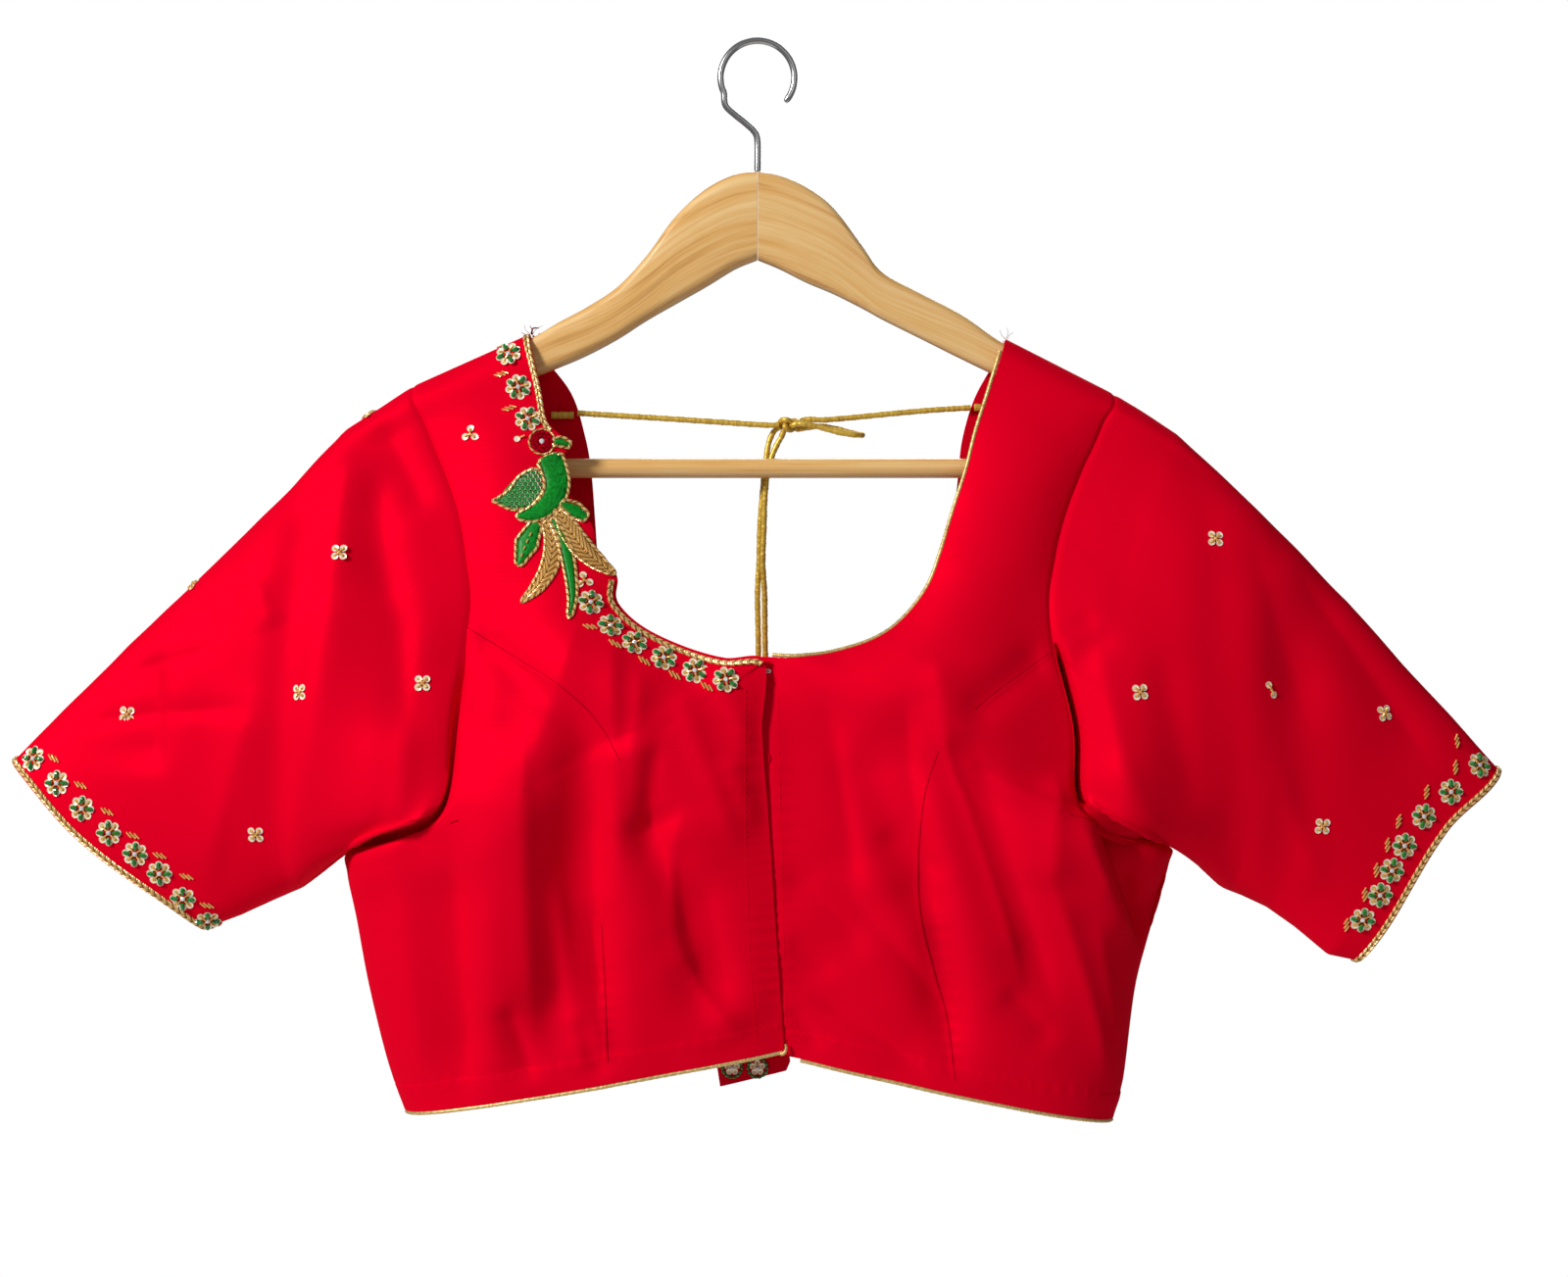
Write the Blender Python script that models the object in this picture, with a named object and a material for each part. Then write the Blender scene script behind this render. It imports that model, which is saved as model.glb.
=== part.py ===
"""Red choli blouse on a wooden hanger: cloth walls, pipings, dori ties and hanger.

All tables are in millimetres; MM turns them into metres.  +X is the wearer's
left, -Y is the front, +Z is up, and the origin is where a rail touches the
inside top of the hanger's hook.
"""
import math
import bpy
import numpy as np

MM = 0.001
CLOTH = 1.4          # thickness of a cloth wall
SEAM = 0.3           # gap between two pieces at a seam
COLS = 13            # steps across a half panel
PIPE = 2.0           # diameter of the hem and neck piping
DORI = 2.8           # diameter of the tie cord
CORD_STEP = 7.0      # distance between two points of a cord
NECK_ROW = 5         # table row at the underarm and the bottom of the neckline
TIP_ROW = 8          # lowest table row that the neckline's tips may move
FOLD_TOP = (14.5, 16.0)      # table rows over which folds die away at the shoulder
NECK_PIPE_ROWS = (5.9, 16.1)     # table rows that carry the left neck piping

# Materials: colour, roughness, metallic
MATERIALS = {"red_silk": ((0.74, 0.0, 0.018, 1), 0.55, 0.0),
             "gold": ((0.50, 0.30, 0.07, 1), 0.45, 0.4),
             "wood": ((0.66, 0.36, 0.13, 1), 0.35, 0.0),
             "chrome": ((0.72, 0.72, 0.72, 1), 0.18, 1.0)}

# ---------------------------------------------------------------- tables
# A row for each section of a half panel, from the hem to the shoulder seam.
# inner edge (centre or neckline): xi yi zi; depth at a third and two thirds
# of the width: y1 y2; outer edge (side seam, armhole): xo yo zo;
# round: 1 where the section closes like a lens; n: steps up to the next row
HALF_COLUMNS = ("xi", "yi", "zi", "y1", "y2", "xo", "yo", "zo", "round", "n")

FRONT_RIGHT = [
    (13, -32.5, -485, -36, -26, -171.5, 0, -518.5, 1.0, 2),
    (11, -36.5, -455, -41, -30, -180, 0, -495, 1.0, 2),
    (8, -41.5, -410, -47, -34, -189, 0, -458, 1.0, 2),
    (6, -44, -370, -50, -37, -195, 0, -425, 1.0, 2),
    (5, -44, -335, -52, -41, -199, 0, -404, 1.0, 1),
    (5, -39, -301, -52, -42, -198, 0, -393, 1.0, 2),
    (-15, -38, -299, -51, -47, -168, -31, -386, 0.7, 1),
    (-33, -36, -294, -51, -48, -147, -40, -370, 0.3, 1),
    (-51, -34, -286, -48, -45, -143, -37, -331, 0.0, 1),
    (-63, -32, -277, -42, -40, -138, -33, -294, 0.0, 1),
    (-73, -30, -266, -37, -35, -136, -30, -272, 0.0, 2),
    (-82, -26, -247, -32, -31, -138, -27, -256, 0.0, 2),
    (-91, -22, -228, -27, -26, -142, -22, -234, 0.0, 2),
    (-98, -18, -209, -22, -21, -148, -17, -216, 0.0, 2),
    (-101, -15, -190, -18, -17, -155, -13, -200, 0.0, 1),
    (-104, -11.5, -171, -13, -13, -161, -10.5, -186, 0.0, 1),
    (-109.5, -9.2, -149, -9.3, -9.1, -167, -8.6, -174, 0.0, 2),
    (-111, 0, -141.5, 0, 0, -168, 0, -167, 0.0, 0),
]
FRONT_LEFT = [
    (-8, -24.2, -483, -35, -26, 173, 0, -522.5, 1.0, 2),
    (-8, -29, -453, -41, -30, 178, 0, -504, 1.0, 2),
    (-9, -34, -410, -47, -34, 184, 0, -458, 1.0, 2),
    (-9, -37, -370, -50, -37, 193, 0, -425, 1.0, 2),
    (-9, -36.5, -335, -51, -40, 200, 0, -400, 1.0, 1),
    (-9, -31, -302, -50, -40, 200, 0, -391, 1.0, 2),
    (19, -38, -299, -51, -47, 171, -31, -384, 0.7, 1),
    (38, -37, -296, -51, -48, 151, -39, -369, 0.3, 1),
    (56, -36, -290, -48, -45, 149, -37, -332, 0.0, 1),
    (69, -33, -281, -43, -40, 141, -33, -296, 0.0, 1),
    (81, -30, -266, -37, -35, 139, -29, -272, 0.0, 2),
    (88, -27, -249, -32, -31, 142, -24, -252, 0.0, 2),
    (94, -22, -230, -27, -26, 147, -19, -233, 0.0, 2),
    (101, -18, -209, -22, -21, 156, -14.5, -210, 0.0, 2),
    (106, -15, -190, -18, -17, 163, -12, -196, 0.0, 1),
    (112, -11.5, -172, -13, -13, 168, -10, -185, 0.0, 1),
    (118.5, -9.2, -151.5, -9.3, -9.1, 173, -8.6, -177.5, 0.0, 2),
    (121, 0, -144, 0, 0, 174, 0, -171, 0.0, 0),
]
BACK_RIGHT = [
    (3, 15, -482, 15, 11, -171.5, 0, -518.5, 1.0, 2),
    (4, 17, -458, 17, 12, -180, 0, -495, 1.0, 2),
    (5, 19, -425, 20, 14, -189, 0, -458, 1.0, 2),
    (6, 20, -397, 23, 16, -195, 0, -425, 1.0, 2),
    (7, 20, -372, 25, 18, -199, 0, -404, 1.0, 1),
    (8, 20, -347, 26, 19, -198, 0, -393, 1.0, 2),
    (-20, 20, -344, 26, 21, -174, 12, -380, 0.6, 1),
    (-45, 20, -335, 26, 23, -156, 17, -348, 0.2, 1),
    (-62, 20, -318, 25, 23, -147, 20, -317, 0.0, 1),
    (-71, 19, -299, 24, 23, -143, 20, -290, 0.0, 1),
    (-75, 19, -281, 22, 22, -142, 20, -272, 0.0, 2),
    (-78, 18, -256, 21, 21, -143, 18, -254, 0.0, 2),
    (-80, 17, -232, 19, 19, -146, 16, -233, 0.0, 2),
    (-82, 15, -209, 16, 16, -150, 14, -215, 0.0, 2),
    (-85, 13, -191, 14, 14, -155, 12.5, -200, 0.0, 1),
    (-92, 11, -169, 12, 12, -161, 10.5, -186, 0.0, 1),
    (-107.5, 9.6, -149, 9.4, 9.1, -167, 8.6, -174, 0.0, 2),
    (-111, 0, -141.5, 0, 0, -168, 0, -167, 0.0, 0),
]
BACK_LEFT = [
    (3, 15, -482, 15, 11, 173, 0, -522.5, 1.0, 2),
    (4, 17, -458, 17, 12, 178, 0, -504, 1.0, 2),
    (5, 19, -425, 20, 14, 184, 0, -458, 1.0, 2),
    (6, 20, -397, 23, 16, 193, 0, -425, 1.0, 2),
    (7, 20, -372, 25, 18, 200, 0, -400, 1.0, 1),
    (8, 20, -347, 26, 19, 200, 0, -391, 1.0, 2),
    (36, 20, -344, 26, 21, 173, 11, -372, 0.6, 1),
    (61, 20, -335, 26, 23, 159, 17, -343, 0.2, 1),
    (78, 20, -318, 25, 23, 151, 20, -312, 0.0, 1),
    (87, 19, -299, 24, 23, 148, 20, -290, 0.0, 1),
    (92, 19, -281, 22, 22, 147, 20, -272, 0.0, 2),
    (95, 18, -256, 21, 21, 148, 18, -254, 0.0, 2),
    (97, 17, -232, 19, 19, 151, 16, -233, 0.0, 2),
    (99, 15, -209, 16, 16, 157, 14, -212, 0.0, 2),
    (101, 13, -191, 14, 14, 163, 12, -197, 0.0, 1),
    (107, 11, -171, 12, 12, 168, 10.5, -185, 0.0, 1),
    (118, 9.6, -151.5, 9.4, 9.1, 173, 8.6, -177.5, 0.0, 2),
    (121, 0, -144, 0, 0, 174, 0, -171, 0.0, 0),
]

# How far the middle of a row hangs below its ends, columns: table row, sag
SAG_FRONT_RIGHT = [(0, 0), (2, 2), (3, 5), (4, 10), (5, 14), (6, 7), (7, 1), (8, 0)]
SAG_FRONT_LEFT = [(0, 0), (2, 2), (3, 5), (4, 10), (5, 14), (6, 7), (7, 1), (8, 0)]
SAG_NONE = [(0, 0)]

# Folds, columns xa za xb zb wide deep: the line from (xa, za) to (xb, zb), its
# half width and its depth (a minus is a ridge)
FOLDS_FRONT_RIGHT = [
    (-130, -290, -78, -335, 9, 2.5),        # armhole dart
    (-78, -335, -96, -480, 16, 7.0),        # trough below the dart
    (-128, -310, -127, -490, 12, -3.5),     # ridge beside the sleeve
    (-60, -340, -48, -372, 14, -3.0),       # bust point
    (-52, -358, -24, -462, 12, 7.0),        # long S fold
    (-72, -420, -68, -487, 8, 2.5),         # waist dart
]
FOLDS_FRONT_LEFT = [
    (134, -298, 100, -325, 9, 2.5),
    (88, -340, 128, -450, 13, 6.0),
    (50, -345, 76, -415, 12, 4.5),
    (78, -395, 92, -488, 10, 3.0),
    (20, -440, 80, -480, 16, 3.0),
    (172, -405, 186, -440, 7, 5.0),         # fold behind the front's side edge
]
FOLDS_BACK_RIGHT = [
    (-70, -400, -66, -486, 10, 3.0),
    (-120, -330, -100, -480, 16, 4.0),
    (-30, -380, -40, -480, 14, 2.5),
]
FOLDS_BACK_LEFT = [
    (78, -400, 74, -486, 10, 3.0),
    (126, -330, 108, -480, 16, 4.0),
    (42, -380, 50, -480, 14, 2.5),
]
# Cut edge of the peacock on the right front's neckline, columns z half out:
# each tip's height, half width and how far it stands out
NECK_TIPS = [(-196.5, 7, 9), (-214, 12, 3.5), (-236, 12, 8.5), (-260, 10, 9.5)]

# Sleeve sections from armhole to cuff: share of the way, top edge, bottom
# edge, and how far the front and the back stand off the plane between them
SLEEVE_COLUMNS = ("s", "xt", "zt", "xb", "zb", "front", "back")
SLEEVE_RIGHT = [
    (0.00, -168, -167, -198, -393, 34, 20),
    (0.06, -178, -173.5, -204, -399, 36, 21),
    (0.14, -201, -188.5, -211, -404, 37, 23),
    (0.25, -226, -216.5, -220, -409, 36, 23),
    (0.40, -256, -246, -231, -415, 31, 21),
    (0.55, -285, -273, -241, -420, 27, 19),
    (0.70, -313, -300, -251, -424.5, 23, 17),
    (0.85, -339, -325.5, -261, -428, 19, 15),
    (1.00, -363, -350, -270.5, -431, 16, 13),
]
SLEEVE_LEFT = [
    (0.00, 174, -171, 200, -391, 30, 20),
    (0.06, 184, -177, 206, -399, 33, 21),
    (0.14, 205, -190.5, 214, -404.5, 35, 23),
    (0.25, 231, -216, 224, -410, 34, 23),
    (0.40, 259, -243, 236, -415, 31, 21),
    (0.55, 287, -271, 248, -421, 27, 19),
    (0.70, 314, -302, 262, -431, 23, 17),
    (0.85, 339, -329, 278, -444, 19, 15),
    (1.00, 362, -355, 293, -447, 16, 13),
]
# Bow of the cuff's edge out of its straight line, and its share of the height
CUFF_BOW = {"right": (4.0, 0.42), "left": (-7.0, 0.36)}
# where each sleeve section stands on the way from armhole to cuff
SLEEVE_STEPS = (0.0, 0.03, 0.06, 0.09, 0.14, 0.20, 0.27, 0.36, 0.47, 0.60,
                0.74, 0.88, 1.0)
SLEEVE_FOLDS_RIGHT = [
    (-214, -205, -228, -408, 13, 4.0),      # from the hanger's end
    (-262, -262, -250, -408, 16, 2.0),
]
SLEEVE_FOLDS_LEFT = [
    (214, -203, 222, -404, 13, 3.0),
    (262, -262, 252, -410, 16, 2.0),
]
# Fold of each sleeve at the front of the armhole: towards the body, forward
ROOT_FOLD = {"right": (3.0, 3.0), "left": (3.0, 3.0)}
ROOT_END = 0.09      # share of the sleeve that is straight from the seam
ROOT_RISE = (9.5, 6.0)   # rise from the lower armhole seam, front and back
UNDERARM_UP = 0.6    # upward part of the cloth's normal at the underarm

# Hanger arms, columns: station x, top edge, bottom edge, half thickness
ARM_RIGHT = [
    (-0.15, -62.5, -105.5, 6.5), (-11, -64, -110, 6.5),
    (-25, -71, -118.5, 6.5), (-40, -84.5, -127, 6.4), (-54, -103.5, -135, 6.2),
    (-68, -118.5, -144, 6.0), (-83, -128.5, -152, 5.8),
    (-97, -136, -158, 5.6), (-110, -143.6, -163, 5.5),
    (-131, -153, -170, 5.5), (-168, -169.5, -185, 5.5),
    (-186, -181.5, -197, 5.4), (-195.5, -188.5, -201.4, 5.2),
    (-195.9, -189, -212.5, 5.2), (-206, -198, -212.5, 4.8),
    (-212, -205, -210, 3.0),
]
ARM_LEFT = [
    (0.15, -62.5, -105.5, 6.5), (11, -64.5, -110, 6.5),
    (24, -70, -116.5, 6.5), (37, -80, -122, 6.4), (51, -98.5, -129, 6.2),
    (61, -111.5, -134.5, 6.1), (80, -122, -144, 5.8), (100, -132.5, -154, 5.6),
    (120, -146.2, -163.5, 5.5), (145, -158.5, -174, 5.5),
    (174, -173.8, -188, 5.5), (188, -183.5, -198.5, 5.4),
    (195.5, -189, -201.4, 5.2), (195.9, -189.4, -212.5, 5.2),
    (205, -195.8, -212.5, 5.0), (211, -201.8, -210, 3.2),
]
BAR_Z = -207.0
BAR_D = 9.5
HOOK_D = 3.2
HOOK_R = 16.4 + HOOK_D / 2.0      # centre line of the crook
# Centre line of the hook from the yoke to the crook
HOOK_STEM = [(0, -61.9), (0, -47.5), (-1.6, -42.8), (-6, -38.6), (-11, -34.6),
             (-15.6, -30)]

# Knot of the ties, and the direction in which each cord leaves it
KNOT = (15.4, 5.6, -184.9)
KNOT_HALF = (6.0, 4.6, 4.2)
KNOT_EXITS = {"cord_right": (-1.0, -0.05, -0.05), "cord_left": (1.0, 0.1, 0.22),
              "loop_out": (1.0, -0.7, -0.05), "loop_back": (0.8, 0.9, -0.25),
              "tail_right": (-1.0, 0.6, -0.25), "tail_left": (-0.7, 0.2, -0.9)}
# Tie cord centre lines: x y z; each starts or ends at its exit from the knot
DORI_RIGHT = [(-88.6, 8.7, -179.2), (-67, 8.3, -180.6), (-45, 7.6, -182),
              (-16, 6.6, -184), (-2, 5.9, -185)]
DORI_LEFT = [(104.6, 8.6, -176.6), (88, 8.3, -177.6), (70.7, 7.8, -179.1),
             (42, 6.6, -182), (31, 6.2, -182.8)]
DORI_LOOP = [(29.8, 1.6, -186.6), (39.2, 0.9, -189.2), (45.5, 0.9, -190.3),
             (49.7, 2.4, -190.5), (51.2, 5.5, -190.2), (49.7, 8.7, -189.6),
             (45.5, 10.1, -188.6), (39.2, 9.9, -186.9), (29.8, 9.4, -185.6)]
TAIL_RIGHT = [(7.0, 10.6, -189.6), (5.4, 10.6, -193.8), (4.3, 10.3, -200),
              (2.9, 10.2, -212), (2.0, 10.7, -222), (1.0, 12.0, -236),
              (0.6, 13.8, -253), (-0.2, 15.1, -268), (0.2, 18.1, -299),
              (-1.0, 21.5, -328), (-1.6, 24.6, -350), (-2.2, 25.2, -380),
              (-2.6, 25.2, -410), (-3.2, 24.4, -440), (-3.6, 23.2, -465.6)]
TAIL_LEFT = [(9.8, 7.0, -194.2), (7.2, 7.0, -200), (4.3, 7.0, -212),
             (3.4, 7.5, -222), (3.0, 9.1, -236), (2.4, 10.8, -253),
             (3.3, 13.6, -268), (3.7, 18.1, -299), (6.0, 21.9, -328), (10.0, 24.8, -350),
             (16.0, 25.6, -380), (22.0, 25.6, -410), (26.0, 25.0, -428.6)]
# Stitched down ends of the dori on the inside of the back: x0 x1 y z
DORI_ENDS = {"right": (-101.5, -90.4, 9.0, -180.2),
             "left": (106.4, 117.0, 9.0, -176.4)}
# Cloth ends of the tails: centre x, depth y, top z, height, top and bottom
# width, lean of the bottom edge
LATKANS = {"right": (-2.4, 22.8, -466, 43, 14, 37, 8),
           "left": (26.4, 24.6, -429, 43, 14, 37, -4)}
LATKAN_THICK = 3.0


# ---------------------------------------------------------------- helpers
def smooth(a, b, x):
    t = np.clip((x - a) / (b - a), 0.0, 1.0)
    return t * t * (3.0 - 2.0 * t)


def spline(points, steps, ghost_end=None):
    """Catmull-Rom through rows of numbers; steps[i] pieces after row i."""
    p = np.asarray(points, float)
    first = 2 * p[0] - p[1]
    last = 2 * p[-1] - p[-2] if ghost_end is None else np.asarray(ghost_end, float)
    q = np.vstack([first, p, last])
    out = []
    for i in range(len(p) - 1):
        p0, p1, p2, p3 = q[i], q[i + 1], q[i + 2], q[i + 3]
        for k in range(steps[i]):
            t = k / steps[i]
            out.append(0.5 * (2 * p1 + (p2 - p0) * t
                              + (2 * p0 - 5 * p1 + 4 * p2 - p3) * t * t
                              + (3 * p1 - p0 - 3 * p2 + p3) * t ** 3))
    out.append(p[-1])
    return np.array(out)


def fold_depth(x, z, folds):
    """Sum of the soft troughs and ridges at points x, z."""
    total = np.zeros_like(x)
    for xa, za, xb, zb, wide, deep in folds:
        dx, dz = xb - xa, zb - za
        length = math.hypot(dx, dz)
        t = ((x - xa) * dx + (z - za) * dz) / (length * length)
        off = ((x - xa) * dz - (z - za) * dx) / length
        ends = smooth(-0.18, 0.15, t) * (1.0 - smooth(0.85, 1.18, t))
        total += deep * np.exp(-(off / wide) ** 2) * ends
    return total


def half_panel(table, folds, sags, side, tips=()):
    """Grid of outer points [row, column], and the table row of each row."""
    last = HALF_COLUMNS.index("n")
    rows = np.array([r[:last] for r in table], float)
    steps = [r[last] for r in table[:-1]]
    ghost = rows[-2].copy()
    for name in ("yi", "y1", "y2", "yo"):
        ghost[HALF_COLUMNS.index(name)] *= -1.0     # on over the shoulder
    rows_f = spline(rows, steps, ghost)
    marks = spline([[float(i)] for i in range(len(table))], steps)[:, 0]
    hang = np.interp(marks, *zip(*sags))
    grid = np.zeros((len(rows_f), COLS + 1, 3))
    a = np.linspace(0.0, 1.0, COLS + 1)
    for i, (xi, yi, zi, y1, y2, xo, yo, zo, rnd) in enumerate(rows_f):
        rnd = min(max(rnd, 0.0), 1.0)
        across = (1 - rnd) * a + rnd * (1 - (1 - a) ** 1.2)
        turn = (1 - rnd) * across + rnd * np.arcsin(across) * 2 / math.pi
        cubic = np.polyfit((0.0, 1 / 3, 2 / 3, 1.0), (yi, y1, y2, yo), 3)
        grid[i, :, 0] = xi + (xo - xi) * across
        grid[i, :, 1] = np.polyval(cubic, turn)
        grid[i, :, 2] = zi + (zo - zi) * across - hang[i] * np.sin(across * math.pi)
    # a front's folds die away at its free centre edge
    inner = smooth(0.0, 0.10, a) if tips is not None else np.ones_like(a)
    lower = (marks <= NECK_ROW)[:, None]
    fade_in = np.where(lower, inner[None, :], 1.0)
    fade_out = 1.0 - smooth(0.86, 1.0, a)[None, :]
    top = 1.0 - smooth(*FOLD_TOP, marks)[:, None]
    grid[:, :, 1] += (fold_depth(grid[:, :, 0], grid[:, :, 2], folds)
                      * fade_in * fade_out * top * side)
    for z, half, out in (tips or ()):
        near = np.exp(-((grid[:, 0, 2] - z) / half) ** 2) * (marks > TIP_ROW)
        grid[:, :, 0] += out * near[:, None] * (1.0 - smooth(0.0, 0.30, a))[None, :]
    return grid, marks


def grid_normals(grid, outward):
    """Unit normals of an open grid, turned to the outward side."""
    du = np.gradient(grid, axis=1)
    dv = np.gradient(grid, axis=0)
    n = np.cross(du, dv)
    n /= np.linalg.norm(n, axis=2)[:, :, None]
    return n * outward


def flat_y(n):
    n = n.copy()
    n[..., 1] = 0.0
    return n / np.linalg.norm(n, axis=-1)[..., None]


def finish(obj, look):
    """Give an object its material and smooth shading with sharp edges kept."""
    colour, rough, metal = MATERIALS[look]
    mat = bpy.data.materials.new(obj.name)
    mat.use_nodes = True
    shader = mat.node_tree.nodes["Principled BSDF"]
    shader.inputs["Base Color"].default_value = colour
    shader.inputs["Roughness"].default_value = rough
    shader.inputs["Metallic"].default_value = metal
    obj.data.materials.append(mat)
    if obj.type == 'MESH':
        obj.data.shade_smooth()
        obj.data.set_sharp_from_angle(angle=math.radians(50))
    return obj


def make_mesh(name, verts, faces, look):
    mesh = bpy.data.meshes.new(name)
    mesh.from_pydata([tuple(float(c) * MM for c in v) for v in verts], [], faces)
    mesh.validate()
    obj = bpy.data.objects.new(name, mesh)
    bpy.context.collection.objects.link(obj)
    bpy.context.view_layer.objects.active = obj
    bpy.ops.object.mode_set(mode='EDIT')
    bpy.ops.mesh.select_all(action='SELECT')
    bpy.ops.mesh.normals_make_consistent(inside=False)
    bpy.ops.object.mode_set(mode='OBJECT')
    return finish(obj, look)


def shell(name, outer, normals, faces):
    """Closed wall: the outer sheet, the same sheet moved in, and its rim."""
    n = len(outer)
    faces = [t for f in faces for t in ((f[0], f[1], f[2]), (f[0], f[2], f[3]))]
    inner = outer - normals * CLOTH
    count = {}
    for f in faces:
        for i in range(len(f)):
            e = (f[i], f[(i + 1) % len(f)])
            count[frozenset(e)] = count.get(frozenset(e), 0) + 1
    rim = []
    for f in faces:
        for i in range(len(f)):
            u, v = f[i], f[(i + 1) % len(f)]
            if count[frozenset((u, v))] == 1:
                rim.append((v, u, u + n, v + n))
    back = [tuple(i + n for i in reversed(f)) for f in faces]
    return make_mesh(name, np.vstack([outer, inner]), list(faces) + back + rim,
                     "red_silk")


def seam_trim(grid, marks, side):
    """Pull the shoulder and side seam edges half a seam gap apart in y."""
    g = grid.copy()
    g[-1, :, 1] = side * SEAM / 2
    g[marks <= NECK_ROW, -1, 1] = side * SEAM / 2
    return g


def panel_normals(grid, marks, outward):
    n = grid_normals(grid, outward)
    n[-1] = flat_y(n[-1])
    for i in np.flatnonzero(marks <= NECK_ROW):
        up = UNDERARM_UP if marks[i] == NECK_ROW else 0.0
        n[i, -1] = (math.copysign(math.sqrt(1 - up * up), grid[i, -1, 0]), 0.0, up)
    return n


def grid_faces(rows, cols, first=0):
    return [(first + i * cols + j, first + i * cols + j + 1,
             first + (i + 1) * cols + j + 1, first + (i + 1) * cols + j)
            for i in range(rows - 1) for j in range(cols - 1)]


def tube(name, points, diameter, look="gold", res=2):
    curve = bpy.data.curves.new(name, 'CURVE')
    curve.dimensions = '3D'
    curve.bevel_depth = diameter / 2 * MM
    curve.bevel_resolution = res
    curve.use_fill_caps = True
    line = curve.splines.new('POLY')
    line.points.add(len(points) - 1)
    for k, p in enumerate(points):
        line.points[k].co = (p[0] * MM, p[1] * MM, p[2] * MM, 1.0)
    obj = bpy.data.objects.new(name, curve)
    bpy.context.collection.objects.link(obj)
    return finish(obj, look)


def along(points, gap):
    """Points about `gap` apart on a smooth line through the given ones."""
    p = np.asarray(points, float)
    steps = [max(1, int(round(np.linalg.norm(p[i + 1] - p[i]) / gap)))
             for i in range(len(p) - 1)]
    return spline(p, steps)


# ---------------------------------------------------------------- bodice
def panels():
    out = {}
    for key, table, folds, sags, side, tips in (
            ("front_right", FRONT_RIGHT, FOLDS_FRONT_RIGHT, SAG_FRONT_RIGHT, 1, NECK_TIPS),
            ("front_left", FRONT_LEFT, FOLDS_FRONT_LEFT, SAG_FRONT_LEFT, 1, ()),
            ("back_right", BACK_RIGHT, FOLDS_BACK_RIGHT, SAG_NONE, -1, None),
            ("back_left", BACK_LEFT, FOLDS_BACK_LEFT, SAG_NONE, -1, None)):
        grid, marks = half_panel(table, folds, sags, side, tips)
        grid = seam_trim(grid, marks, -side)
        # the cross product's sense flips from one side of the body to the other
        right = key.endswith("right")
        front = key.startswith("front")
        normals = panel_normals(grid, marks, -1.0 if right == front else 1.0)
        out[key] = (grid, normals, marks)
    return out


def build_bodice(p):
    for key in ("front_right", "front_left"):
        grid, normals, _ = p[key]
        shell(key + "_panel", grid.reshape(-1, 3), normals.reshape(-1, 3),
              grid_faces(*grid.shape[:2]))
    # the back is one piece: its halves share the centre line below the neck
    (gr, nr, marks), (gl, nl, _) = p["back_right"], p["back_left"]
    rows, cols = gr.shape[:2]
    shared = marks <= NECK_ROW
    verts = list(gr.reshape(-1, 3))
    norms = list(nr.reshape(-1, 3))
    index = {}
    for i in range(rows):
        for j in range(cols):
            if j == 0 and shared[i]:
                index[i, j] = i * cols
                mean = nr[i, 0] + nl[i, 0]
                norms[i * cols] = mean / np.linalg.norm(mean)
            else:
                index[i, j] = len(verts)
                verts.append(gl[i, j])
                norms.append(nl[i, j])
    faces = grid_faces(rows, cols)
    faces += [(index[i, j + 1], index[i, j], index[i + 1, j], index[i + 1, j + 1])
              for i in range(rows - 1) for j in range(cols - 1)]
    shell("back_panel", np.array(verts), np.array(norms), faces)


# ---------------------------------------------------------------- sleeves
def armhole(front, back):
    """Ring of armhole points from the shoulder tip down the front to the
    underarm and up the back, with the panel's normal and the direction in
    which the panel would go on at each."""
    (gf, nf, marks), (gb, nb, _) = front, back
    last = [i for i in range(len(marks)) if marks[i] >= NECK_ROW][::-1]
    ring, norm, below = [], [], []
    for part, (g, n) in enumerate(((gf, nf), (gb, nb))):
        for i in (last if part == 0 else last[1:-1][::-1]):
            ring.append(g[i, -1])
            norm.append(n[i, -1])
            below.append(g[i - 1, -1 if marks[i] == NECK_ROW else -3])
    ring, norm, below = map(np.array, (ring, norm, below))
    half = len(last) - 1
    for k in (0, half):
        ring[k][1] = below[k][1] = 0.0
        norm[k] = flat_y(norm[k])
    run = np.roll(ring, -1, axis=0) - np.roll(ring, 1, axis=0)
    run /= np.linalg.norm(run, axis=1)[:, None]
    way = np.cross(run, norm)
    way /= np.linalg.norm(way, axis=1)[:, None]
    way *= np.sign((way * (ring - below)).sum(axis=1))[:, None]
    return ring, norm, way, run, half


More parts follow.
